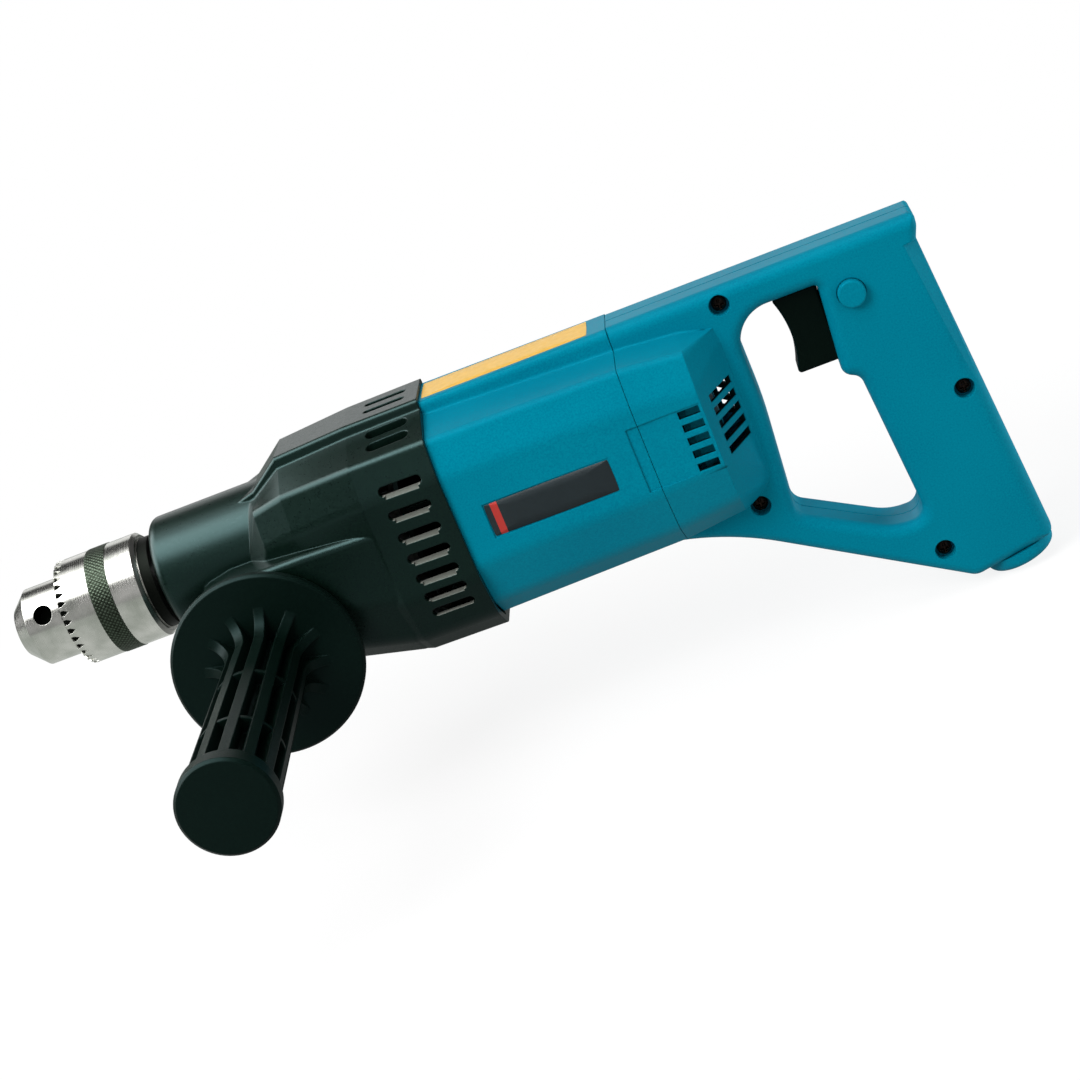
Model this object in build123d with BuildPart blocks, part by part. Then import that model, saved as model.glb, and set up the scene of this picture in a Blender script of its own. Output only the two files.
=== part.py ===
from build123d import *
import os
from math import acos, atan2, cos, pi, radians, sin, sqrt, tan

# Diamond core drill. Millimetres. X runs back from the chuck mouth along the spindle axis,
# Y points to the tool's right hand and Z points up.

# Lengths along the spindle, from the mouth of the chuck to the heel of the handle
chuck_length = 66.5
collar_gap = 2.5
nose_length = 41.0
gear_body_length = 88.0
motor_length = 82.0
handle_length = 141.0

# Housings
wall = 3.2
nose_radius = 26.0
nose_round = 4.0
top_z = 36.4
spine_half = 15.0
edge_round = 4.0
motor_half_width = 43.5
motor_bottom = -59.0
rim_step = 2.0
gear_bottom = -63.5
ledge_z = 1.5
lower_half_width = 44.3
parting_gap = 0.2
cavity_back = 14.0
hip_back = 9.0
crown_back = 23.0
waist_back = 55.0
flank_front = 21.0
flank_back = 31.0

# Axes and gears
motor_axis_z = -14.0
wheel_module = 0.9
pinion_teeth = 8
wheel_teeth = 44
drive_module = 1.4
drive_teeth = 12
spindle_teeth = 37
pinion_shift = 0.5
drive_shift = 0.3
pressure_angle = radians(20)
backlash = 0.16
tooth_addendum = 0.82
wheel_width = 8.0
drive_width = 13.0

# Chuck
bore_radius = 6.9
chuck_nose_radius = 17.0
chuck_nose_length = 23.0
chuck_face_radius = 10.7
chuck_chamfer = 6.7
sleeve_radius = 23.0
sleeve_length = 38.5
sleeve_teeth = 36
sleeve_bevel = 4.0
sleeve_slope = 1.8
jaw_radius = 3.25
jaw_angle = radians(13)
jaw_tip_x = 11.0
jaw_reach = 42.0
jaw_grip_length = 12.0
jaw_open_radius = 7.0
key_hole_radius = 4.2
key_hole_x = 15.0
thread_radius = 6.35
web_thickness = 8.0

# Bearings as bore radius, outer radius and width
spindle_bearing = (8.5, 20.0, 12.0)
shaft_bearing = (3.0, 9.5, 6.0)
front_bearing = (5.0, 13.0, 8.0)
rear_bearing = (4.0, 11.0, 7.0)
bush_wall = 1.6
spindle_tail_radius = 4.5

# Motor
core_length = 46.0
core_radius = 22.3
air_gap = 0.7
field_radius = 37.0
fan_radius = 32.5
fan_width = 13.0
fan_blades = 12
commutator_radius = 13.0
commutator_length = 16.0
riser_step = 1.5
riser_length = 3.0
armature_shaft_radius = 5.5
brush_width = 9.0
brush_height = 6.3
brush_length = 16.0

# Handle
lip_back = 131.5
lip_height = 5.5
lip_step = 2.3
heel_z = -113.0
toe_back = 106.0
toe_z = -119.6
arm_knee_back = 4.3
arm_knee_z = -56.8
arm_bend = 130.0
bulge_back = 27.0
bulge_slope = 14.5
vent_height = 3.3
vent_count = 5
vent_pitch = 5.8
trigger_half = 8.2
trigger_travel = 6.0
button_radius = 5.75
button_travel = 3.5
screw_recess_radius = 4.3
screw_recess_depth = 5.5
handle_screw_head = 3.1
screw_head_radius = 3.8
screw_radius = 2.0
cord_bore_radius = 5.25
hole_round = 5.0
top_round = 5.5
back_round = 7.0
palm_bevel = 6.0
palm_bevel_end = 4.0
palm_bevel_length = 66.0
trigger_hollow = 3.2
trigger_reach = 20.0

# Side grip
grip_x = 104.0
grip_z = -35.0
grip_face = 47.0
disc_radius = 40.0
disc_thickness = 5.0
grip_length = 138.0
grip_root_radius = 16.5
grip_end_radius = 18.2
cap_radius = 19.7
cap_length = 8.0
cap_round = 1.2
disc_bevel = 1.2
rib_count = 12
rib_thickness = 4.2
flare_radius = 26.0
flare_length = 11.0
grip_core_radius = 11.0
web_step = 0.3
web_spots = [49.0, 95.0]
web_width = 2.0
end_band = 4.0
boss_radius = 17.0
stud_radius = 5.0
stud_depth = 20.0

# Inner details of the chuck
sleeve_wall = 1.6
sleeve_chamfer = 1.5
nut_setback = 4.0
nut_step = 2.6
nut_length = 7.4
notch_floor = 1.2
neck_clearance = 0.4
bore_depth = 36.0
collar_radius = 20.0
key_hole_depth = 9.0
notch_half_width = 1.15
notch_length = 5.2
notch_point = 2.2
chuck_screw_radius = 3.0
chuck_screw_head = 5.0
chuck_screw_length = 18.0
screw_head_height = 4.0

# Inner details of the gear train and motor
fan_space = 26.0
plate_thickness = 10.0
gear_gap = 3.0
seal_depth = 7.0
flange_radius = 12.0
gear_seat_radius = 8.0
wheel_seat_radius = 5.5
inner_ring_share = 0.3
seal_step = 0.8
flank_steps = 3
core_setback = 14.0
winding_reach = 20.0
armature_slot_count = 12
slot_width = 2.6
slot_depth = 9.0
fan_disc = 2.2
fan_hub_radius = 9.0
fan_eye_radius = 15.0
fan_blade_thickness = 1.6
fan_sweep = 20.0
pole_span = 110.0
yoke_wall = 6.0
coil_end = 9.0
neck_radius = 31.0

# Vents of the gear housing
vent_setback = 6.0
vent_length = 18.5
gear_vent_height = 4.0
side_vent_count = 7
vent_top = 14.5
vent_step = 10.9
vent_closing = 0.25
vent_lip = 1.6
roof_vent_width = 6.0

# Fixings
plate_screw_spots = [(30.0, 14.5), (-30.0, 14.5), (-27.0, -41.0), (2.0, -51.0)]
housing_screw_spots = [(9.0, 28.5), (-9.0, 28.5), (20.0, -51.0), (-20.0, -51.0)]
screw_boss_radius = 4.5
tube_radius = 5.2
screw_grip = 12.0
screw_cap = 3.0
screw_sink = 4.0
throat_radius = 14.0

# Openings and small details of the motor housing and handle
field_seat_width = 4.0
air_hole_radius = 4.0
baffle_thickness = 2.0
panel_z = -11.5
panel_height = 28.0
panel_depth = 0.7
panel_overlap = 5.0
badge_setback = 12.0
badge_z = -20.5
badge_length = 54.5
badge_height = 15.1
badge_depth = 0.6
rib_back = 13.4
rib_width = 3.0
hole_front = 48.3
hole_back = 86.0
hole_top = 22.2
hole_bottom = -87.0
trigger_low = -11.6
stem_half = 3.0
switch_half = 9.5
switch_low = -14.0
switch_height = 36.0
switch_length = 24.0
button_back = 97.7
button_z = 14.9
button_stem_radius = 4.0
foot_radius = 15.0
foot_height = 6.0
foot_round = 3.0
foot_shift = 2.0
spigot_radius = 10.5
spigot_length = 8.0
stud_hold = 60.0
plunger_reach = 4.0
groove_half = 0.35
groove_depth = 0.5
vent_wall = 2.2

# Clearances
slide_gap = 0.3
run_gap = 0.06
seat_gap = 0.1

# Stations along X that follow from the lengths
nose_x = chuck_length + collar_gap
shoulder_x = nose_x + nose_length
rim_x = shoulder_x + gear_body_length
seam_x = rim_x + motor_length
heel_x = seam_x + handle_length
badge_x = rim_x + badge_setback

# The share of a side that the rounding at one of its ends may take
side_share = 0.45

os.makedirs("parts", exist_ok=True)


def keep(piece, name):
    """Labels a finished piece and writes its file."""
    piece.part.label = name
    export_step(piece.part, f"parts/{name}.step")


def fitted_radii(corners):
    """The rounding of each corner (u, v, radius), at most what its two sides have room for."""
    radii = []
    for i, (u, v, radius) in enumerate(corners):
        here = Vector(u, v)
        first = here - Vector(*corners[i - 1][:2])
        second = Vector(*corners[(i + 1) % len(corners)][:2]) - here
        room = side_share * min(first.length, second.length)
        half_turn = radians(first.get_angle(second)) / 2
        radii.append(min(radius, room / tan(half_turn)))
    return radii


def rounded_face(plane, corners):
    """A face on a plane, whose corners (u, v, radius) are joined by straight sides and rounded."""
    with BuildSketch(plane) as sketch:
        with BuildLine():
            FilletPolyline(
                *[(u, v) for u, v, _ in corners],
                radius=fitted_radii(corners),
                close=True,
            )
        make_face()
    return sketch.sketch


def both_sides(half):
    """Closes a right-hand half outline with its mirror image."""
    return half + [(-y, z, radius) for y, z, radius in reversed(half)]


def inset(corners, depth):
    """Moves every side of a clockwise outline inwards by a depth, and its rounding with it."""
    moved = []
    for i, (u, v, radius) in enumerate(corners):
        before = Vector(*corners[i - 1][:2])
        after = Vector(*corners[(i + 1) % len(corners)][:2])
        here = Vector(u, v)
        first = (here - before).normalized()
        second = (after - here).normalized()
        normal = Vector(first.Y, -first.X) + Vector(second.Y, -second.X)
        corner = here + normal * (depth / (1 + first.dot(second)))
        turns_right = first.X * second.Y - first.Y * second.X < 0
        trimmed = radius - depth if turns_right else radius + depth
        moved.append((corner.X, corner.Y, max(trimmed, 0.6)))
    return moved


def between(first, second, share):
    """An outline part of the way from one outline to the next."""
    return [
        tuple(a + (b - a) * share for a, b in zip(one, other))
        for one, other in zip(first, second)
    ]


def barrel(spine, top, roof, ridge, half_width, bottom, slim=1.0):
    """Corners of a housing section: spine, roof, ridge, side, bilge, chine and keel."""
    half = [
        (spine, top, edge_round * slim),
        (spine + 0.4, roof, 1.5),
        (half_width - 5.5 * slim, ridge, 4.0 * slim),
        (half_width, ridge - 15.0 * slim, 12.0 * slim),
        (half_width, bottom + 30.0 * slim, 14.0 * slim),
        (half_width - 7.5 * slim, bottom + 10.5 * slim, 12.0 * slim),
        (half_width - 21.5 * slim, bottom, 10.0 * slim),
    ]
    return both_sides(half)


def loft_along(stations, mode=Mode.ADD):
    """Joins outlines, given as (x, corners), by straight rulings."""
    loft([rounded_face(Plane.YZ.offset(x), corners) for x, corners in stations], ruled=True, mode=mode)


def turn(steps, center=(0.0, 0.0), mode=Mode.ADD):
    """Revolves an outline of (x, radius) corners about a line along X through center (y, z)."""
    y, z = center
    with BuildSketch(Plane.XZ.offset(-y)) as profile:
        with BuildLine():
            Polyline(*[(x, z + radius) for x, radius in steps], close=True)
        make_face()
    revolve(profile.sketch, axis=Axis((0, y, z), (1, 0, 0)), mode=mode)


def ring(start, end, inner, outer, center=(0.0, 0.0), mode=Mode.ADD):
    """A plain ring along X."""
    turn([(start, inner), (start, outer), (end, outer), (end, inner)], center, mode)


def rod(start, journals, center=(0.0, 0.0), mode=Mode.ADD):
    """A solid shaft along X, of journals given as (end, radius)."""
    corners = [(start, 0.0)]
    for end, radius in journals:
        corners += [(start, radius), (end, radius)]
        start = end
    turn(corners + [(start, 0.0)], center, mode)


def cross_plane(x, center=(0.0, 0.0)):
    """The plane across X at a station, with its origin on a line through center (y, z)."""
    y, z = center
    return Plane(origin=(x, y, z), x_dir=(0, 1, 0), z_dir=(1, 0, 0))


def toothed_face(plane, teeth, module, shift, first_tooth):
    """An involute gear outline with profile shift, one tooth centred on an angle in radians."""
    pitch = module * teeth / 2
    base = pitch * cos(pressure_angle)
    tip = pitch + module * (tooth_addendum + shift)
    root = pitch - module * (1.25 - shift)
    form = max(base, root)
    thickness = module * (pi / 2 + 2 * shift * tan(pressure_angle)) - backlash

    def half_angle(radius):
        slope = acos(min(1.0, base / radius))
        involute = tan(pressure_angle) - pressure_angle - (tan(slope) - slope)
        return thickness / (2 * pitch) + involute

    flank = [root] if root < base else []
    flank += [form + (tip - form) * step / flank_steps for step in range(flank_steps + 1)]
    points = []
    for tooth in range(teeth):
        middle = first_tooth + 2 * pi * tooth / teeth
        rising = [(radius, middle - half_angle(max(radius, base))) for radius in flank]
        falling = [(radius, middle + half_angle(max(radius, base))) for radius in reversed(flank)]
        points += [(radius * cos(angle), radius * sin(angle)) for radius, angle in rising + falling]
    with BuildSketch(plane) as sketch:
        with BuildLine():
            Polyline(*points, close=True)
        make_face()
    return sketch.sketch


def sector_face(plane, inner, outer, start, sweep):
    """A piece of a flat ring, from a start angle over a sweep, in degrees."""
    with BuildSketch(plane) as sketch:
        with BuildLine():
            far = CenterArc((0, 0), outer, start, sweep)
            near = CenterArc((0, 0), inner, start, sweep)
            Line(far @ 0, near @ 0)
            Line(far @ 1, near @ 1)
        make_face()
    return sketch.sketch


def cylinder_between(start, end, radius, mode=Mode.ADD):
    """A round bar from one point to another."""
    along = Vector(*end) - Vector(*start)
    with BuildSketch(Plane(origin=start, z_dir=along)) as section:
        Circle(radius)
    extrude(section.sketch, along.length, mode=mode)


def block(low, high, mode=Mode.ADD):
    """A box between two corners."""
    size = [b - a for a, b in zip(low, high)]
    middle = [(a + b) / 2 for a, b in zip(low, high)]
    with Locations(Location(tuple(middle))):
        Box(*size, mode=mode)


# Chuck stations and radii that follow from its sizes
jaw_rise = tan(jaw_angle)
jaw_slant_radius = jaw_radius / cos(jaw_angle)
body_radius = sleeve_radius - sleeve_wall
sleeve_end = chuck_nose_length + sleeve_length
nut_front = chuck_nose_length + nut_setback
nut_radius = chuck_nose_radius + nut_step
nut_back = nut_front + nut_length
web_front = bore_depth
web_back = web_front + web_thickness
screw_seat = web_front + screw_head_height + slide_gap


def jaw_center(x):
    """Distance of a jaw's own axis from the chuck axis at a station, with the chuck open."""
    grip_end = jaw_tip_x + jaw_grip_length
    return jaw_open_radius + jaw_slant_radius + (x - grip_end) * jaw_rise


def jaw_point(x, angle):
    """A point on a jaw's own axis."""
    reach = jaw_center(x)
    return (x, reach * cos(angle), reach * sin(angle))


jaw_angles = [radians(90 + 120 * k) for k in range(3)]
nut_neck = jaw_center(nut_front) + jaw_slant_radius - neck_clearance

with BuildPart() as chuck_body:
    turn([
        (0, bore_radius),
        (0, chuck_face_radius),
        (chuck_chamfer, chuck_nose_radius),
        (nut_front - slide_gap, chuck_nose_radius),
        (nut_front - slide_gap, nut_neck),
        (nut_back + slide_gap, nut_neck),
        (nut_back + slide_gap, body_radius),
        (sleeve_end, body_radius),
        (sleeve_end, collar_radius),
        (chuck_length, collar_radius),
        (chuck_length, thread_radius),
        (web_back, thread_radius),
        (web_back, chuck_screw_radius + seat_gap),
        (screw_seat, chuck_screw_radius + seat_gap),
        (screw_seat, chuck_screw_head + seat_gap),
        (web_front, chuck_screw_head + seat_gap),
        (web_front, bore_radius),
    ])
    for angle in jaw_angles:
        cylinder_between(
            jaw_point(-jaw_grip_length, angle),
            jaw_point(jaw_tip_x + jaw_reach + slide_gap, angle),
            jaw_radius + run_gap,
            Mode.SUBTRACT,
        )
    with Locations(Plane.YZ.offset(key_hole_x)):
        with PolarLocations(chuck_nose_radius, 3, 30):
            Cylinder(key_hole_radius, 2 * key_hole_depth, rotation=(0, 90, 0), mode=Mode.SUBTRACT)
keep(chuck_body, "chuck_body")

with BuildPart() as tooth_notch:
    with BuildSketch(Plane.XY.offset(chuck_nose_radius + notch_floor)):
        with BuildLine():
            Polyline(
                (chuck_nose_length - 1, -notch_half_width),
                (chuck_nose_length - 1, notch_half_width),
                (chuck_nose_length + notch_length - notch_point, notch_half_width),
                (chuck_nose_length + notch_length, 0),
                (chuck_nose_length + notch_length - notch_point, -notch_half_width),
                close=True,
            )
        make_face()
    extrude(amount=sleeve_radius)

with BuildPart() as chuck_sleeve:
    turn([
        (chuck_nose_length, chuck_nose_radius + run_gap),
        (chuck_nose_length, sleeve_radius - sleeve_bevel),
        (chuck_nose_length + sleeve_slope, sleeve_radius),
        (sleeve_end - sleeve_chamfer, sleeve_radius),
        (sleeve_end, sleeve_radius - sleeve_chamfer),
        (sleeve_end, body_radius + run_gap),
        (nut_back, body_radius + run_gap),
        (nut_back, nut_radius),
        (nut_front, nut_radius),
        (nut_front, chuck_nose_radius + run_gap),
    ])
    for tooth in range(sleeve_teeth):
        notch = tooth_notch.part.rotate(Axis.X, 360 * tooth / sleeve_teeth)
        add(notch, mode=Mode.SUBTRACT)
keep(chuck_sleeve, "chuck_sleeve")

with BuildPart() as chuck_nut:
    nut_thread = jaw_slant_radius + seat_gap
    turn([
        (nut_front, jaw_center(nut_front) + nut_thread),
        (nut_front, nut_radius),
        (nut_back, nut_radius),
        (nut_back, jaw_center(nut_back) + nut_thread),
    ])
keep(chuck_nut, "chuck_nut")

for number, angle in enumerate(jaw_angles, 1):
    radial = Vector(0, cos(angle), sin(angle))
    with BuildPart() as chuck_jaw:
        cylinder_between(
            jaw_point(0, angle), jaw_point(jaw_tip_x + jaw_reach, angle), jaw_radius
        )
        split(bisect_by=Plane.YZ.offset(jaw_tip_x), keep=Keep.TOP)
        with BuildSketch(Plane(origin=(0, 0, 0), x_dir=radial, z_dir=(1, 0, 0))) as clearance:
            with BuildLine():
                Polyline(
                    (jaw_open_radius, 0),
                    (jaw_open_radius + body_radius * tan(pi / 6), body_radius),
                    (-body_radius, body_radius),
                    (-body_radius, -body_radius),
                    (jaw_open_radius + body_radius * tan(pi / 6), -body_radius),
                    close=True,
                )
            make_face()
        extrude(clearance.sketch, chuck_length, mode=Mode.SUBTRACT)
    keep(chuck_jaw, f"chuck_jaw_{number}")

with BuildPart() as chuck_screw:
    rod(screw_seat - screw_head_height, [
        (screw_seat, chuck_screw_head),
        (screw_seat + chuck_screw_length, chuck_screw_radius),
    ])
    with BuildSketch(Plane.YZ.offset(screw_seat - screw_head_height)):
        RegularPolygon(chuck_screw_radius, 6)
    extrude(amount=screw_head_height / 2, mode=Mode.SUBTRACT)
keep(chuck_screw, "chuck_screw")

# Gear train stations, counted forward from the rear rim of the gear housing
plate_back = rim_x - fan_space
plate_front = plate_back - plate_thickness
wheel_back = plate_front - gear_gap
wheel_front = wheel_back - wheel_width
drive_back = wheel_front - gear_gap
drive_front = drive_back - drive_width
bearing_front = nose_x + seal_depth
bearing_back = bearing_front + spindle_bearing[2]
cavity_front = shoulder_x + cavity_back

# The intermediate shaft lies where the two centre distances cross
near_distance = wheel_module * (pinion_teeth + wheel_teeth) / 2
far_distance = drive_module * (drive_teeth + spindle_teeth) / 2
shaft_z = (far_distance**2 - near_distance**2 + motor_axis_z**2) / (2 * motor_axis_z)
shaft_y = sqrt(far_distance**2 - shaft_z**2)
shaft_center = (shaft_y, shaft_z)
motor_center = (0.0, motor_axis_z)
to_shaft = atan2(shaft_z - motor_axis_z, shaft_y)
from_spindle = atan2(shaft_z, shaft_y)

with BuildPart() as spindle:
    rod(web_back + slide_gap, [
        (chuck_length, thread_radius - seat_gap),
        (bearing_front, flange_radius),
        (drive_front, spindle_bearing[0]),
        (drive_back, gear_seat_radius),
        (wheel_back, spindle_tail_radius),
    ])
    screw_end = screw_seat + chuck_screw_length
    rod(web_back, [(screw_end + slide_gap, chuck_screw_radius)], mode=Mode.SUBTRACT)
keep(spindle, "spindle")

with BuildPart() as spindle_gear:
    extrude(
        toothed_face(
            cross_plane(drive_front),
            spindle_teeth,
            drive_module,
            -drive_shift,
            from_spindle + pi / spindle_teeth,
        ),
        drive_width,
    )
    rod(drive_front, [(drive_back, gear_seat_radius)], mode=Mode.SUBTRACT)
keep(spindle_gear, "spindle_gear")


def ball_bearing(start, size, center, name):
    """A sealed ball bearing: an outer ring with its seals, and the inner ring that turns."""
    inner, outer, width = size
    split_radius = inner + (outer - inner) * inner_ring_share
    with BuildPart() as outer_ring:
        ring(start, start + width, split_radius + seat_gap, outer, center)
        for face in (start - width + seal_step, start + width - seal_step):
            ring(face, face + width, split_radius, outer - seal_step * 3, center, Mode.SUBTRACT)
    keep(outer_ring, f"{name}_outer")
    with BuildPart() as inner_ring:
        ring(start, start + width, inner, split_radius, center)
    keep(inner_ring, f"{name}_inner")


ball_bearing(bearing_front, spindle_bearing, (0, 0), "spindle_bearing")

with BuildPart() as spindle_seal:
    ring(nose_x + slide_gap, bearing_front - slide_gap, flange_radius + run_gap, spindle_bearing[1])
keep(spindle_seal, "spindle_seal")

bush_front = drive_back + gear_gap / 2
bush_radius = spindle_tail_radius + bush_wall
with BuildPart() as spindle_rear_bush:
    ring(bush_front, wheel_back, spindle_tail_radius + run_gap, bush_radius)
keep(spindle_rear_bush, "spindle_rear_bush")

shaft_start = cavity_front - shaft_bearing[2] - 1.0
shaft_stop = plate_front + shaft_bearing[2]
with BuildPart() as intermediate_shaft:
    extrude(
        toothed_face(
            cross_plane(drive_front - 1, shaft_center),
            drive_teeth,
            drive_module,
            drive_shift,
            from_spindle + pi,
        ),
        drive_width + 2,
    )
    rod(shaft_start, [
        (shaft_start + shaft_bearing[2] + slide_gap, shaft_bearing[0]),
        (drive_back, wheel_seat_radius),
        (wheel_front, wheel_seat_radius + 1),
        (plate_front - slide_gap, wheel_seat_radius),
        (shaft_stop, shaft_bearing[0]),
    ], shaft_center)
keep(intermediate_shaft, "intermediate_shaft")

with BuildPart() as intermediate_wheel:
    extrude(
        toothed_face(
            cross_plane(wheel_front, shaft_center),
            wheel_teeth,
            wheel_module,
            -pinion_shift,
            to_shaft + pi + pi / wheel_teeth,
        ),
        wheel_width,
    )
    rod(wheel_front, [(wheel_back, wheel_seat_radius)], shaft_center, Mode.SUBTRACT)
keep(intermediate_wheel, "intermediate_wheel")

ball_bearing(shaft_start, shaft_bearing, shaft_center, "shaft_front_bearing")
ball_bearing(plate_front, shaft_bearing, shaft_center, "shaft_rear_bearing")

# Motor stations, counted back from the rear rim of the gear housing
motor_seat = plate_back - front_bearing[2]
fan_front = plate_back + 4.0
fan_back = fan_front + fan_width
core_front = rim_x + core_setback
core_back = core_front + core_length
commutator_front = core_back + winding_reach
commutator_back = commutator_front + commutator_length
tail_bearing = commutator_back + 5.0
neck_back = tail_bearing + rear_bearing[2] + wall

with BuildPart() as armature_shaft:
    extrude(
        toothed_face(
            cross_plane(wheel_front - 1, motor_center),
            pinion_teeth,
            wheel_module,
            pinion_shift,
            to_shaft,
        ),
        plate_front - wheel_front + 1,
    )
    rod(plate_front, [
        (plate_back, front_bearing[0]),
        (tail_bearing, armature_shaft_radius),
        (tail_bearing + rear_bearing[2], rear_bearing[0]),
    ], motor_center)
keep(armature_shaft, "armature_shaft")

ball_bearing(motor_seat, front_bearing, motor_center, "motor_front_bearing")
ball_bearing(tail_bearing, rear_bearing, motor_center, "motor_rear_bearing")

with BuildPart() as cooling_fan:
    ring(fan_front, fan_front + fan_disc, armature_shaft_radius, fan_radius, motor_center)
    ring(fan_front, fan_back, armature_shaft_radius, fan_hub_radius, motor_center)
    with Locations(cross_plane((fan_front + fan_back) / 2, motor_center)):
        with PolarLocations((fan_radius + fan_eye_radius) / 2, fan_blades):
            Box(
                fan_radius - fan_eye_radius,
                fan_blade_thickness,
                fan_width,
                rotation=(0, 0, fan_sweep),
            )
    rod(fan_front, [(fan_back, armature_shaft_radius)], motor_center, Mode.SUBTRACT)
keep(cooling_fan, "cooling_fan")


def armature_slots(width, inner, outer):
    """The winding slots of the armature, as flat radial bars between two radii."""
    with BuildSketch(cross_plane(core_front, motor_center)) as slots:
        with PolarLocations((inner + outer) / 2, armature_slot_count):
            Rectangle(outer - inner, width)
    return slots.sketch


slot_floor = core_radius - slot_depth
with BuildPart() as armature_core:
    ring(core_front, core_back, armature_shaft_radius, core_radius, motor_center)
    slots = armature_slots(slot_width, slot_floor, core_radius + 1)
    extrude(slots, core_length, mode=Mode.SUBTRACT)
keep(armature_core, "armature_core")

winding_radius = core_radius - 1.5
with BuildPart() as armature_winding:
    for start in (core_front - winding_reach / 2, core_back):
        ring(start, start + winding_reach / 2, fan_hub_radius, winding_radius, motor_center)
    bars = armature_slots(slot_width - 2 * seat_gap, slot_floor + seat_gap, winding_radius - 1)
    extrude(bars, core_length)
keep(armature_winding, "armature_winding")

with BuildPart() as commutator:
    ring(commutator_front, commutator_back, armature_shaft_radius, commutator_radius, motor_center)
    riser_radius = commutator_radius + riser_step
    riser_back = commutator_front + riser_length
    ring(commutator_front, riser_back, armature_shaft_radius, riser_radius, motor_center)
keep(commutator, "commutator")

pole_radius = core_radius + air_gap
yoke_radius = field_radius - yoke_wall
with BuildPart() as field_core:
    ring(core_front, core_back, yoke_radius, field_radius, motor_center)
    for start in (90 - pole_span / 2, 270 - pole_span / 2):
        pole = sector_face(
            cross_plane(core_front, motor_center), pole_radius, yoke_radius + 1, start, pole_span
        )
        extrude(pole, core_length)
keep(field_core, "field_core")

coil_inner = pole_radius + 1.0
coil_outer = yoke_radius - seat_gap
coil_edge = 3.0
coil_sweep = 90 - pole_span / 2 - 1 - coil_edge
with BuildPart() as field_coils:
    for side in (0, 180):
        for start in (side + coil_edge, side + 180 - coil_edge - coil_sweep):
            flank = sector_face(
                cross_plane(core_front, motor_center), coil_inner, coil_outer, start, coil_sweep
            )
            extrude(flank, core_length)
        for station in (core_front - coil_end, core_back):
            end = sector_face(
                cross_plane(station, motor_center),
                coil_inner,
                coil_outer,
                side + coil_edge,
                180 - 2 * coil_edge,
            )
            extrude(end, coil_end)
keep(field_coils, "field_coils")

brush_x = (riser_back + commutator_back) / 2
brush_start = commutator_radius + run_gap
with BuildPart() as carbon_brushes:
    for side in (-1, 1):
        near, far = sorted((side * brush_start, side * (brush_start + brush_length)))
        block(
            (brush_x - brush_width / 2, near, motor_axis_z - brush_height / 2),
            (brush_x + brush_width / 2, far, motor_axis_z + brush_height / 2),
        )
keep(carbon_brushes, "carbon_brushes")

holder_start = commutator_radius + 2.0
holder_wall = 1.2
with BuildPart() as brush_holders:
    for side in (-1, 1):
        near, far = sorted((side * holder_start, side * neck_radius))
        for grow, mode in ((holder_wall, Mode.ADD), (seat_gap, Mode.SUBTRACT)):
            block(
                (brush_x - brush_width / 2 - grow, near, motor_axis_z - brush_height / 2 - grow),
                (brush_x + brush_width / 2 + grow, far, motor_axis_z + brush_height / 2 + grow),
                mode,
            )
keep(brush_holders, "brush_holders")

# Outlines of the gear housing, from its throat back to the rim
rim_half = motor_half_width + rim_step
waist_half = motor_half_width + rim_step / 2
ledge_ridge = ledge_z + 2.5
gear_rim = barrel(spine_half + 1, top_z + 1.8, top_z - 2.4, top_z - 8.8, rim_half, gear_bottom)
gear_waist = barrel(
    spine_half + 0.5, top_z + 1.6, top_z - 2.9, top_z - 9.1, waist_half, gear_bottom
)
gear_crown = barrel(
    spine_half - 1, top_z - 0.4, top_z - 4.9, top_z - 12.1, motor_half_width - 6, gear_bottom + 7.7
)
gear_hip = barrel(
    spine_half - 2, top_z - 10.8, top_z - 13.9, top_z - 14.9, motor_half_width - 10, gear_bottom + 13.5
)
gear_shoulder = barrel(
    spine_half - 3, top_z - 13.5, top_z - 15.4, ledge_ridge, motor_half_width - 12.5, gear_bottom + 19.5
)
gear_throat = barrel(
    spine_half - 3,
    top_z - 13.5,
    top_z - 15.4,
    ledge_ridge,
    motor_half_width - 20.5,
    gear_bottom + 23.5,
    slim=0.7,
)
hip_x = shoulder_x + hip_back
crown_x = shoulder_x + crown_back
waist_x = shoulder_x + waist_back
cavity_mouth = between(gear_hip, gear_crown, (cavity_front - hip_x) / (crown_x - hip_x))
plate_seat = between(gear_crown, gear_waist, (plate_front - crown_x) / (waist_x - crown_x))


def lower_outline(half_width, ledge, bottom):
    """Corners of the deep lower half of the gear housing, below its ledge."""
    half = [
        (half_width, ledge, 3.0),
        (half_width, bottom + 32.0, 14.0),
        (half_width - 7.5, bottom + 10.5, 12.0),
        (half_width - 21.5, bottom, 10.0),
    ]
    return both_sides(half)


lower_front = lower_outline(lower_half_width - 4.3, ledge_z - 2, gear_bottom + 21.5)
with BuildPart() as gear_lower:
    loft_along([
        (nose_x + flank_front - nose_round, inset(lower_front, nose_round)),
        (nose_x + flank_front - 0.7 * nose_round, inset(lower_front, 0.3 * nose_round)),
        (nose_x + flank_front, lower_front),
        (nose_x + flank_back, lower_outline(lower_half_width, ledge_z, gear_bottom + 17)),
        (crown_x, lower_outline(lower_half_width, ledge_z, gear_bottom + 8)),
        (waist_x - 4, lower_outline(lower_half_width, ledge_z - 1, gear_bottom + 1)),
        (waist_x + 7, lower_outline(lower_half_width - 0.3, ledge_z - 2, gear_bottom + 0.6)),
    ])

with BuildPart() as gear_nose:
    rod(nose_x, [(cavity_front, nose_radius)])
    fillet(gear_nose.faces().sort_by(Axis.X)[0].edges(), nose_round)

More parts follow.
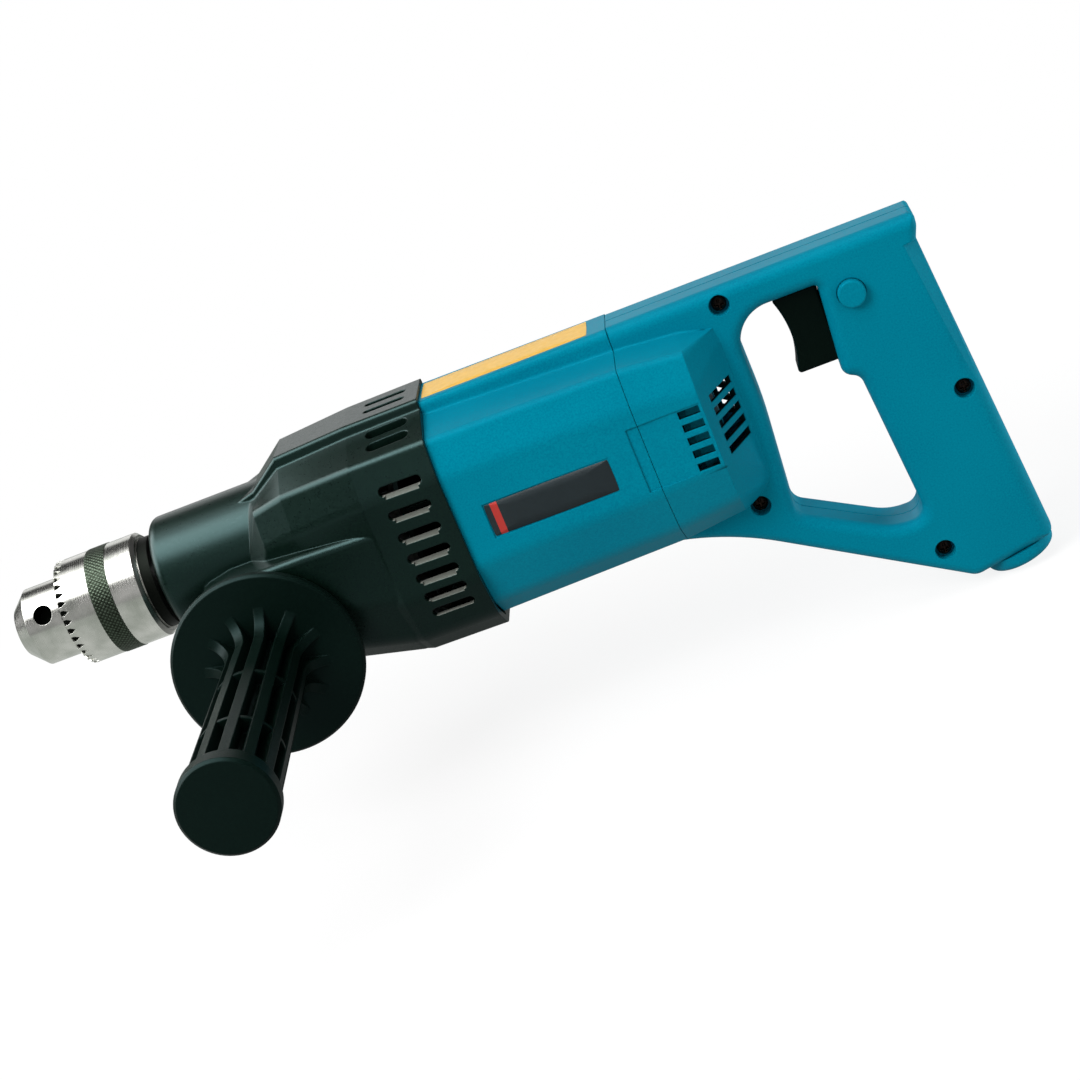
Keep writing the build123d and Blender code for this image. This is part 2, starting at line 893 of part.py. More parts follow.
with BuildPart() as gear_cavity:
    loft_along([
        (cavity_front, inset(cavity_mouth, wall)),
        (crown_x, inset(gear_crown, wall)),
        (waist_x, inset(gear_waist, wall)),
        (rim_x, inset(gear_rim, wall)),
    ])

vent_start = rim_x - vent_setback - vent_length
vent_middle = vent_start + vent_length / 2


def side_vents(side):
    """The row of side slots, each with a sloping lower lip."""
    plane = Plane.XZ.offset(-side * (motor_half_width + 2 * wall))
    levels = [vent_top - vent_step * k + vent_closing * k * k for k in range(side_vent_count)]
    with BuildSketch(plane) as slots:
        with Locations(*[(vent_middle, z) for z in levels]):
            SlotOverall(vent_length, gear_vent_height)
    extrude(slots.sketch, side * 4 * wall, mode=Mode.SUBTRACT)
    outer = side * (motor_half_width + rim_step)
    with BuildSketch(Plane.YZ.offset(vent_start + gear_vent_height / 2)) as lips:
        for z in levels:
            edge = z - gear_vent_height / 2 + 0.1
            with BuildLine():
                Polyline(
                    (outer - side * wall, edge),
                    (outer + side * wall, edge),
                    (outer + side * wall, edge - 2 * vent_lip),
                    close=True,
                )
            make_face()
    extrude(lips.sketch, vent_length - gear_vent_height, mode=Mode.SUBTRACT)


with BuildPart() as gear_housing:
    loft_along([
        (shoulder_x - 6, gear_throat),
        (shoulder_x, gear_shoulder),
        (hip_x, gear_hip),
        (crown_x, gear_crown),
        (waist_x, gear_waist),
        (rim_x, gear_rim),
    ])
    add(gear_lower.part)
    add(gear_nose.part)
    boss_face = grip_face - slide_gap
    cylinder_between((grip_x, -boss_face, grip_z), (grip_x, boss_face, grip_z), boss_radius)
    add(gear_cavity.part, mode=Mode.SUBTRACT)
    for y, z in plate_screw_spots:
        rod(crown_x + 4, [(plate_front, screw_boss_radius)], (y, z))
        rod(plate_front - screw_grip, [(plate_front, screw_radius)], (y, z), Mode.SUBTRACT)
    for y, z in housing_screw_spots:
        rod(rim_x - screw_grip, [(rim_x, tube_radius)], (y, z))
        toward = gear_bottom + wall / 2 if z < 0 else top_z
        low, high = sorted((z, toward))
        block((rim_x - screw_grip, y - screw_radius, low), (rim_x, y + screw_radius, high))
        rod(rim_x - screw_grip, [(rim_x, screw_radius)], (y, z), Mode.SUBTRACT)
    rod(nose_x, [(bearing_back, spindle_bearing[1]), (cavity_front, throat_radius)], mode=Mode.SUBTRACT)
    rod(shaft_start, [(cavity_front, shaft_bearing[1])], shaft_center, Mode.SUBTRACT)
    wheel_tip = wheel_module * (wheel_teeth / 2 + tooth_addendum)
    rod(wheel_front - 1, [(plate_front, wheel_tip + 1)], shaft_center, Mode.SUBTRACT)
    for side in (-1, 1):
        side_vents(side)
        depth_start = (grip_x, side * grip_face, grip_z)
        cylinder_between(
            depth_start, (grip_x, side * (grip_face - stud_depth), grip_z), stud_radius, Mode.SUBTRACT
        )
        for y, surface, width in (
            (5.0, top_z + 1.7, gear_vent_height),
            (20.5, top_z - 3.6, roof_vent_width),
            (30.0, top_z - 6.4, roof_vent_width),
        ):
            with BuildSketch(Plane.XY.offset(surface - wall - 0.6)) as roof_slot:
                with Locations((vent_middle, side * y)):
                    SlotOverall(vent_length, width)
            extrude(roof_slot.sketch, 4 * wall, mode=Mode.SUBTRACT)
keep(gear_housing, "gear_housing")

with BuildPart() as bearing_plate:
    plate_face = rounded_face(Plane.YZ.offset(plate_front), inset(plate_seat, wall + slide_gap))
    extrude(plate_face, plate_thickness)
    rod(bush_front, [(plate_front, bush_radius + 2.3)])
    rod(bush_front, [(wheel_back + slide_gap, bush_radius)], mode=Mode.SUBTRACT)
    rod(plate_front, [
        (motor_seat, front_bearing[0] + 1.2),
        (plate_back, front_bearing[1]),
    ], motor_center, Mode.SUBTRACT)
    rod(plate_front, [(plate_front + shaft_bearing[2], shaft_bearing[1])], shaft_center, Mode.SUBTRACT)
    for spot in plate_screw_spots:
        rod(plate_front, [(plate_back, screw_radius + seat_gap)], spot, Mode.SUBTRACT)
keep(bearing_plate, "bearing_plate")

with BuildPart() as plate_screws:
    for spot in plate_screw_spots:
        rod(plate_front - screw_grip, [
            (plate_back, screw_radius),
            (plate_back + screw_cap, screw_head_radius),
        ], spot)
keep(plate_screws, "plate_screws")

# The D-shaped handle in side view: its outer outline and its hand hole
lip_x = seam_x + lip_back
toe_x = seam_x + toe_back
back_x = lip_x - lip_step
back_z = top_z - lip_height - 5
handle_screw_spots = [
    (seam_x + hole_front - 1.8, hole_top + 7.1),
    (lip_x - 4.5, (hole_top + heel_z) / 2 + 5.7),
    (seam_x + arm_knee_back + 28.4, arm_knee_z),
    (toe_x - 8.8, toe_z + 16.6),
]
frame_outline = [
    (seam_x - 75, top_z, 6.0),
    (lip_x, top_z, edge_round + 0.6),
    (lip_x - 0.4, top_z - lip_height, edge_round + 0.6),
    (back_x, back_z, 3.0),
    (heel_x + 1, heel_z, 4.5),
    (toe_x, toe_z, 7.0),
    (seam_x + arm_knee_back, arm_knee_z, arm_bend),
    (seam_x - 75, arm_knee_z, 6.0),
]
hole_outline = [
    (seam_x + hole_front, hole_top, 16.0),
    (seam_x + hole_back, hole_top, 2.0),
    (seam_x + hole_back - 3, hole_top - 39.5, 5.0),
    (seam_x + hole_back + 3.5, hole_top - 42.7, 5.0),
    (seam_x + hole_back + 9.3, hole_bottom, 11.0),
    (seam_x + hole_back - 5, hole_bottom, 25.0),
    (seam_x + hole_front - 3.3, hole_bottom + 20.5, 7.0),
    (seam_x + hole_front + 0.5, hole_bottom + 67, 200.0),
]

with BuildPart() as frame_form:
    extrude(rounded_face(Plane.XZ, frame_outline), spine_half, both=True)
    extrude(rounded_face(Plane.XZ, hole_outline), spine_half, both=True, mode=Mode.SUBTRACT)
    hole_rims = [face.inner_wires()[0].edges() for face in frame_form.faces().filter_by(Axis.Y)]
    fillet(hole_rims[0] + hole_rims[1], hole_round)
    outer_rims = [face.outer_wire().edges() for face in frame_form.faces().filter_by(Axis.Y)]
    fillet(outer_rims[0] + outer_rims[1], edge_round - 0.2)

# The straight back of the grip, from under its lip down to the heel
back_start = Vector(back_x, 0, back_z)
back_end = Vector(heel_x + 1, 0, heel_z)
back_along = (back_end - back_start).normalized()
back_inward = Vector(back_along.Z, 0, -back_along.X)


def ease_edges(start, along, inward, length, half, radius):
    """Rounds both long edges of a straight stretch, as wide as twice half, by cutting it."""
    with BuildSketch(Plane(origin=start, x_dir=inward, z_dir=along)) as corners:
        for side in (-1, 1):
            with Locations((radius / 2 - 0.5, side * (half - radius / 2 + 0.5))):
                Rectangle(radius + 1, radius + 1)
            with Locations((radius, side * (half - radius))):
                Circle(radius, mode=Mode.SUBTRACT)
    extrude(corners.sketch, length, mode=Mode.SUBTRACT)


def palm_corner(distance, leg, side):
    """The triangle that a bevel takes off one edge of the grip's back, at a distance down it."""
    origin = back_start + back_along * distance
    with BuildSketch(Plane(origin=origin, x_dir=back_inward, z_dir=back_along)) as corner:
        with BuildLine():
            Polyline(
                (-1, side * (spine_half + 1)),
                (leg + 1, side * (spine_half + 1)),
                (-1, side * (spine_half - leg - 1)),
                close=True,
            )
        make_face()
    return corner.sketch


with BuildPart() as frame_cavity:
    extrude(rounded_face(Plane.XZ, inset(frame_outline, wall)), spine_half - wall, both=True)
    ease_edges(
        back_start + back_inward * wall,
        back_along,
        back_inward,
        heel_x,
        spine_half - wall,
        back_round - 2,
    )
    hole_wall = rounded_face(Plane.XZ, inset(hole_outline, -wall))
    extrude(hole_wall, spine_half, both=True, mode=Mode.SUBTRACT)

motor_front = barrel(spine_half, top_z, top_z - 5.4, top_z - 10, motor_half_width, motor_bottom)
seam_half = motor_half_width - 0.5
seam_bottom = motor_bottom + 1.7
motor_back = barrel(spine_half, top_z, top_z - 9, top_z - 11, seam_half, seam_bottom)
panel_low = panel_z - panel_height / 2
panel_high = panel_z + panel_height / 2


def panel_recess(side):
    """The shallow recessed panel that runs across the seam on one side."""
    near, far = sorted((side * (seam_half - panel_depth), side * (motor_half_width + 5)))
    panel_front = seam_x - panel_overlap
    block((panel_front, near, panel_low), (seam_x + bulge_back - 1, far, panel_high), Mode.SUBTRACT)


with BuildPart() as motor_keel:
    add(frame_form.part)
    block((seam_x - 70, -spine_half, motor_bottom + 30), (seam_x, spine_half, top_z + 1), Mode.SUBTRACT)
    split(bisect_by=Plane.YZ.offset(seam_x), keep=Keep.BOTTOM)
    split(bisect_by=Plane.YZ.offset(seam_x - 38), keep=Keep.TOP)

with BuildPart() as motor_housing:
    loft_along([(rim_x, motor_front), (seam_x, motor_back)])
    add(motor_keel.part)
    loft_along([
        (rim_x, inset(motor_front, wall)),
        (seam_x - wall, inset(motor_back, wall)),
    ], Mode.SUBTRACT)
    for station in (core_front, core_back - field_seat_width):
        share = (station - rim_x) / motor_length
        rib = rounded_face(
            Plane.YZ.offset(station), inset(between(motor_front, motor_back, share), wall - 0.5)
        )
        extrude(rib, field_seat_width)
    for y, z in housing_screw_spots:
        rod(rim_x, [(seam_x, tube_radius)], (y, z))
        rod(rim_x, [
            (seam_x - screw_sink, screw_radius + seat_gap),
            (seam_x, screw_head_radius + seat_gap),
        ], (y, z), Mode.SUBTRACT)
    ring(core_front, core_back, core_radius, field_radius, motor_center, Mode.SUBTRACT)
    turn([
        (seam_x - wall, neck_radius),
        (tail_bearing, neck_radius),
        (neck_back, neck_radius - 7),
        (neck_back, 0),
        (seam_x - wall, 0),
    ], motor_center)
    turn([
        (core_front, 0),
        (core_front, neck_radius - wall),
        (tail_bearing - 1, neck_radius - wall),
        (neck_back - wall, neck_radius - 5 - wall),
        (neck_back - wall, rear_bearing[1] + wall),
        (tail_bearing, rear_bearing[1] + wall),
        (tail_bearing, rear_bearing[1]),
        (neck_back - wall, rear_bearing[1]),
        (neck_back - wall, 0),
    ], motor_center, Mode.SUBTRACT)
    with Locations(cross_plane(neck_back, motor_center)):
        with PolarLocations(rear_bearing[1] + 2 * wall, 6):
            Cylinder(air_hole_radius, 4 * wall, mode=Mode.SUBTRACT)
    grow = holder_wall + seat_gap
    block(
        (brush_x - brush_width / 2 - grow, -neck_radius, motor_axis_z - brush_height / 2 - grow),
        (brush_x + brush_width / 2 + grow, neck_radius, motor_axis_z + brush_height / 2 + grow),
        Mode.SUBTRACT,
    )
    for side in (-1, 1):
        panel_recess(side)
    block(
        (badge_x, -motor_half_width - 5, badge_z),
        (badge_x + badge_length, badge_depth - motor_half_width, badge_z + badge_height),
        Mode.SUBTRACT,
    )
keep(motor_housing, "motor_housing")

with BuildPart() as air_baffle:
    baffle_x = rim_x + 2.0
    baffle_face = rounded_face(Plane.YZ.offset(baffle_x), inset(motor_back, wall + slide_gap))
    extrude(baffle_face, baffle_thickness)
    rod(baffle_x, [(baffle_x + baffle_thickness, fan_radius - 6)], motor_center, Mode.SUBTRACT)
    for spot in housing_screw_spots:
        rod(baffle_x, [(baffle_x + baffle_thickness, tube_radius + slide_gap)], spot, Mode.SUBTRACT)
keep(air_baffle, "air_baffle")

with BuildPart() as housing_screws:
    for spot in housing_screw_spots:
        rod(rim_x - screw_grip, [
            (seam_x - screw_sink, screw_radius),
            (seam_x - screw_sink + screw_cap, screw_head_radius),
        ], spot)
keep(housing_screws, "housing_screws")

# The handle: the D frame and the bulge that carries on from the motor housing
bulge_x = seam_x + bulge_back
tail_x = bulge_x + bulge_slope
bulge_spine = spine_half - 0.5
bulge_top = top_z - 0.5
bulge_front = barrel(bulge_spine, bulge_top, top_z - 9, top_z - 11, seam_half, seam_bottom)
bulge_rear = barrel(
    bulge_spine, bulge_top, top_z - 11.6, top_z - 13.9, seam_half - 0.5, motor_bottom + 4.5
)
bulge_tail = barrel(
    bulge_spine, bulge_top, top_z - 14.4, top_z - 15.4, spine_half - 0.2, motor_bottom + 8, slim=0.3
)
handle_front = seam_x + parting_gap
grip_wall_x = seam_x + hole_back
switch_front = grip_wall_x + 6.0
switch_back = switch_front + switch_length
foot_toe = Vector(toe_x, 0, toe_z)
foot_direction = (back_end - foot_toe).normalized()
foot_normal = Vector(foot_direction.Z, 0, -foot_direction.X)
foot_center = (back_end + foot_toe) / 2 + foot_direction * foot_shift


def foot_point(height):
    """A point on the cord outlet's axis, at a height out of the foot of the handle."""
    point = foot_center + foot_normal * height
    return (point.X, point.Y, point.Z)


with BuildPart() as parting_groove:
    extrude(rounded_face(Plane.XZ, inset(frame_outline, -1)), groove_half, both=True)
    groove_floor = rounded_face(Plane.XZ, inset(frame_outline, groove_depth))
    extrude(groove_floor, groove_half, both=True, mode=Mode.SUBTRACT)
    extrude(rounded_face(Plane.XZ, inset(hole_outline, -groove_depth)), groove_half, both=True)

with BuildPart() as handle_form:
    add(frame_form.part)
    split(bisect_by=Plane.YZ.offset(handle_front), keep=Keep.TOP)
    add(parting_groove.part, mode=Mode.SUBTRACT)
    loft_along([(handle_front, bulge_front), (bulge_x, bulge_rear), (tail_x, bulge_tail)])
    add(frame_cavity.part, mode=Mode.SUBTRACT)
    loft_along([
        (handle_front, inset(bulge_front, wall)),
        (bulge_x - 0.5, inset(bulge_rear, vent_wall)),
        (tail_x - wall / 2, inset(bulge_tail, vent_wall)),
    ], Mode.SUBTRACT)
    rib_x = seam_x + rib_back
    rib_outline = between(bulge_front, bulge_rear, rib_back / bulge_back)
    extrude(rounded_face(Plane.YZ.offset(rib_x), inset(rib_outline, wall - 0.5)), rib_width)
    rod(rib_x, [(rib_x + rib_width, neck_radius + seat_gap)], motor_center, Mode.SUBTRACT)
    for x, z in handle_screw_spots:
        cylinder_between((x, 1 - spine_half, z), (x, spine_half - 1, z), tube_radius)
    top_front = Vector(handle_front, 0, top_z)
    ease_edges(top_front, Vector(1, 0, 0), Vector(0, 0, -1), handle_length, spine_half, top_round)
    ease_edges(back_start, back_along, back_inward, heel_x, spine_half, back_round)
    for side in (-1, 1):
        loft([
            palm_corner(0, palm_bevel, side),
            palm_corner(palm_bevel_length, palm_bevel_end, side),
        ], mode=Mode.SUBTRACT)
        near, far = sorted((side * switch_half, side * (spine_half - 1)))
        for z in (switch_low + 4, switch_low + switch_height - 8):
            block((switch_front + 6, near, z), (switch_back - 4, far, z + 4))
        panel_recess(side)
        near, far = sorted((side * (motor_half_width - 10), side * (motor_half_width + 5)))
        slope_near, slope_far = sorted((side * (spine_half + 2), side * (motor_half_width - 8)))
        for k in range(vent_count):
            level = panel_z + (k - (vent_count - 1) / 2) * vent_pitch
            low, high = level - vent_height / 2, level + vent_height / 2
            block((bulge_x - 10.3, near, low), (bulge_x - 1.4, far, high), Mode.SUBTRACT)
            block((bulge_x - 1, slope_near, low), (tail_x, slope_far, high), Mode.SUBTRACT)
    block(
        (grip_wall_x - 8, -trigger_half - slide_gap, trigger_low - slide_gap),
        (switch_front, trigger_half + slide_gap, hole_top),
        Mode.SUBTRACT,
    )
    cylinder_between(
        foot_point(-spigot_length - 1), foot_point(3), spigot_radius + seat_gap, Mode.SUBTRACT
    )

recess_floor = screw_recess_depth - spine_half
with BuildPart() as handle_left:
    add(handle_form.part)
    split(bisect_by=Plane.XZ.offset(parting_gap / 2), keep=Keep.TOP)
    for x, z in handle_screw_spots:
        cylinder_between((x, -spine_half - 1, z), (x, 0, z), screw_radius + seat_gap, Mode.SUBTRACT)
        cylinder_between(
            (x, -spine_half - 1, z), (x, recess_floor, z), screw_recess_radius, Mode.SUBTRACT
        )
    cylinder_between(
        (seam_x + button_back, -spine_half - 1, button_z),
        (seam_x + button_back, -switch_half, button_z),
        button_radius + slide_gap,
        Mode.SUBTRACT,
    )
keep(handle_left, "handle_left")

with BuildPart() as handle_right:
    add(handle_form.part)
    split(bisect_by=Plane.XZ.offset(-parting_gap / 2), keep=Keep.BOTTOM)
    for x, z in handle_screw_spots:
        cylinder_between((x, 0, z), (x, screw_grip, z), screw_radius, Mode.SUBTRACT)
keep(handle_right, "handle_right")

with BuildPart() as handle_screws:
    for x, z in handle_screw_spots:
        cylinder_between((x, recess_floor - screw_cap, z), (x, recess_floor, z), handle_screw_head)
        cylinder_between((x, recess_floor, z), (x, screw_grip, z), screw_radius)
keep(handle_screws, "handle_screws")

with BuildPart() as cord_bush:
    cylinder_between(foot_point(0), foot_point(foot_height), foot_radius)
    fillet(cord_bush.edges().filter_by(GeomType.CIRCLE).sort_by(Axis.Z)[0], foot_round)
    cylinder_between(foot_point(-spigot_length), foot_point(0), spigot_radius)
    cylinder_between(
        foot_point(-spigot_length), foot_point(foot_height), cord_bore_radius, Mode.SUBTRACT
    )
keep(cord_bush, "cord_bush")

# The switch and its controls
trigger_high = hole_top - slide_gap
stem_z = (trigger_low + trigger_high) / 2
trigger_back = grip_wall_x - 2 * slide_gap
trigger_front = grip_wall_x - trigger_reach
with BuildPart() as trigger:
    with BuildSketch(Plane.XZ) as trigger_side:
        with BuildLine():
            hollow = ThreePointArc(
                (trigger_front, trigger_high),
                (trigger_front + trigger_hollow, stem_z),
                (trigger_front, trigger_low),
            )
            Polyline(hollow @ 1, (trigger_back, trigger_low), (trigger_back, trigger_high), hollow @ 0)
        make_face()
    extrude(trigger_side.sketch, trigger_half, both=True)
    fillet(trigger.edges().filter_by(Axis.Y), 1.5)
    fillet(trigger.faces().sort_by(Axis.X)[0].edges().filter_by(GeomType.CIRCLE), 1.4)
keep(trigger, "trigger")

with BuildPart() as trigger_plunger:
    block(
        (trigger_back, -stem_half, stem_z - stem_half),
        (switch_front + plunger_reach, stem_half, stem_z + stem_half),
    )
    fillet(trigger_plunger.edges().filter_by(Axis.X), 0.8)
keep(trigger_plunger, "trigger_plunger")

with BuildPart() as switch_body:
    block(
        (switch_front, -switch_half, switch_low),
        (switch_back, switch_half, switch_low + switch_height),
    )
    fillet(switch_body.edges().filter_by(Axis.Y), 1.5)
    gap = stem_half + slide_gap
    block(
        (switch_front, -gap, stem_z - gap),
        (switch_front + plunger_reach + trigger_travel + slide_gap, gap, stem_z + gap),
        Mode.SUBTRACT,
    )
    cylinder_between(
        (seam_x + button_back, -switch_half, button_z),
        (seam_x + button_back, 1.5, button_z),
        button_stem_radius + slide_gap,
        Mode.SUBTRACT,
    )
keep(switch_body, "switch_body")

with BuildPart() as lock_button:
    button_face = -spine_half - button_travel
    cylinder_between(
        (seam_x + button_back, button_face, button_z),
        (seam_x + button_back, -switch_half - button_travel - slide_gap, button_z),
        button_radius,
    )
    fillet(lock_button.edges().filter_by(GeomType.CIRCLE).sort_by(Axis.Y)[0], 1.0)
    cylinder_between(
        (seam_x + button_back, -switch_half - button_travel - slide_gap, button_z),
        (seam_x + button_back, -switch_half / 2, button_z),
        button_stem_radius,
    )
keep(lock_button, "lock_button")

# The side grip: a turned disc, core and cap, with ribs that flare out onto the disc
grip_axis = Axis((grip_x, 0, grip_z), (0, -1, 0))
flare_end = disc_thickness + flare_length
rib_end = grip_length - cap_length


def grip_radius(w):
    """Radius over the ribs at a distance from the boss."""
    return grip_root_radius + (grip_end_radius - grip_root_radius) * w / grip_length


def grip_point(w, radius):
    """A point in the plane of the grip's axis, at a distance from the boss and from the axis."""
    return (grip_x + radius, -grip_face - w)


with BuildPart() as grip_rib:
    with BuildSketch(Plane.XY.offset(grip_z - rib_thickness / 2)):
        with BuildLine():
            flare_foot = grip_point(disc_thickness, flare_radius)
            flare_top = grip_point(flare_end, grip_radius(flare_end))
            TangentArc(flare_top, flare_foot, tangent=(0, 1))
            Polyline(
                flare_foot,
                grip_point(disc_thickness - disc_bevel, flare_radius),
                grip_point(disc_thickness - disc_bevel, stud_radius + wall),
                grip_point(rib_end, stud_radius + wall),
                grip_point(rib_end, grip_radius(rib_end)),
                flare_top,
            )
        make_face()
    extrude(amount=rib_thickness)

with BuildPart() as side_grip:
    with BuildSketch(Plane.XY.offset(grip_z)):
        with BuildLine():
            Polyline(
                grip_point(0, 0),
                grip_point(0, disc_radius - disc_bevel),
                grip_point(disc_bevel, disc_radius),
                grip_point(disc_thickness - disc_bevel, disc_radius),
                grip_point(disc_thickness, disc_radius - disc_bevel),
                grip_point(disc_thickness, grip_core_radius),
                grip_point(rib_end - end_band, grip_core_radius),
                grip_point(rib_end - end_band, grip_radius(rib_end)),
                grip_point(rib_end, grip_radius(rib_end)),
                grip_point(rib_end, cap_radius),
                grip_point(grip_length - cap_round, cap_radius),
                grip_point(grip_length, cap_radius - cap_round),
                grip_point(grip_length, 0),
                close=True,
            )
        make_face()
        for spot in web_spots:
            with BuildLine():
                Polyline(
                    grip_point(spot - web_width / 2, 0),
                    grip_point(spot - web_width / 2, grip_radius(spot) - web_step),
                    grip_point(spot + web_width / 2, grip_radius(spot) - web_step),
                    grip_point(spot + web_width / 2, 0),
                    close=True,
                )
            make_face()
    revolve(axis=grip_axis)
    for k in range(rib_count):
        add(grip_rib.part.rotate(grip_axis, 360 * (k + 0.5) / rib_count))
    cylinder_between(
        (grip_x, -grip_face, grip_z),
        (grip_x, -grip_face - stud_hold, grip_z),
        stud_radius,
        Mode.SUBTRACT,
    )
keep(side_grip, "side_grip")

with BuildPart() as grip_stud:
    cylinder_between(
        (grip_x, stud_depth - slide_gap - grip_face, grip_z),
        (grip_x, -grip_face - stud_hold, grip_z),
        stud_radius - seat_gap,
    )
keep(grip_stud, "grip_stud")
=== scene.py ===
"""Looks of the diamond core drill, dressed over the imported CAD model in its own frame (metres)."""
import logging
from dataclasses import asdict, dataclass, field, replace
from enum import Enum
from typing import Any

import bpy
import numpy as np
from mathutils import Matrix, Vector


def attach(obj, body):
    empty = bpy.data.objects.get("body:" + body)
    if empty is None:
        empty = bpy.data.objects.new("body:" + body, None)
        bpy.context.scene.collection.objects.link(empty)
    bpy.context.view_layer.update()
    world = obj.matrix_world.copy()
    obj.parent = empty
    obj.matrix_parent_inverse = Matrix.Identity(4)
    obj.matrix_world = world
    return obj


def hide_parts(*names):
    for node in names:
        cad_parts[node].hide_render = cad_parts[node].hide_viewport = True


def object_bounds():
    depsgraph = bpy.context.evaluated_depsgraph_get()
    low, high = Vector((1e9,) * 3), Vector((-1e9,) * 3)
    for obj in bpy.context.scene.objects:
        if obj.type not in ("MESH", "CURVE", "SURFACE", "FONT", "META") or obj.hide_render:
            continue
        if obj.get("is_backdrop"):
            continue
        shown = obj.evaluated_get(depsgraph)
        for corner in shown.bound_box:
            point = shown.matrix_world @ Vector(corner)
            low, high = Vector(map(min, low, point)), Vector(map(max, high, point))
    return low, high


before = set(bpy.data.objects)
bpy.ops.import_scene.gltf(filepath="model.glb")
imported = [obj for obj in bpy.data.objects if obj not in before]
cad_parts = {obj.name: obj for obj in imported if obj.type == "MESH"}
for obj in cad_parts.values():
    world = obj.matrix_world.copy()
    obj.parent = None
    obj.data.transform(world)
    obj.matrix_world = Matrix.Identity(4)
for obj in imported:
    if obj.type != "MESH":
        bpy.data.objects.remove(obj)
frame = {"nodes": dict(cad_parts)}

Tree = bpy.types.NodeTree
Node = bpy.types.Node
Socket = bpy.types.NodeSocket
Piece = bpy.types.Object
LOG = logging.getLogger("core_drill")
MM = 0.001
# A noise node's values mostly keep to this middle range.
NOISE_LOW, NOISE_HIGH = 0.3, 0.7
# ABS and nylon are both close to this.
PLASTIC_IOR = 1.53
BEVEL_SAMPLES = 6


def linear(hex_colour: str) -> tuple[float, float, float, float]:
    """Turns an sRGB hex colour into linear light.

    Args:
        hex_colour: Six hex digits, such as "1f6f7a".

    Returns:
        Linear red, green and blue, and an alpha of one.
    """
    srgb = np.array([int(hex_colour[i:i + 2], 16) for i in (0, 2, 4)]) / 255.0
    light = np.where(srgb <= 0.04045, srgb / 12.92, ((srgb + 0.055) / 1.055) ** 2.4)
    return (*light.tolist(), 1.0)


def feed(tree: Tree, node: Node, inputs: dict[str | int, Any]) -> None:
    """Sets a node's inputs, each to a constant or by a link.

    Args:
        tree: The node tree that holds the node.
        node: The node.
        inputs: Input name or number to a constant, or to the output socket that is linked to it.
    """
    for key, value in inputs.items():
        socket = node.inputs[key]
        if isinstance(value, Socket):
            tree.links.new(value, socket)
        else:
            socket.default_value = value


def add_node(
    tree: Tree,
    kind: str,
    inputs: dict[str | int, Any] | None = None,
    **settings: Any,
) -> Node:
    """Adds a node to a tree, with its settings, its constants and its links.

    Args:
        tree: The node tree that takes the node.
        kind: The node's type, such as "ShaderNodeBump".
        inputs: Its inputs, as feed takes them.
        settings: Properties of the node itself.

    Returns:
        The new node.
    """
    node = tree.nodes.new(kind)
    for key, value in settings.items():
        setattr(node, key, value)
    feed(tree, node, inputs or {})
    return node


def per_metre(size_mm: float) -> float:
    """Texture scale at which one cell of a pattern is this size in millimetres."""
    return 1.0 / (size_mm * MM)


class MarkPath(Enum):
    """The way that tool marks run over a machined surface."""

    AROUND_SPINDLE = "turned about the spindle axis"
    ALL_WAYS = "tumbled or ground without a direction"


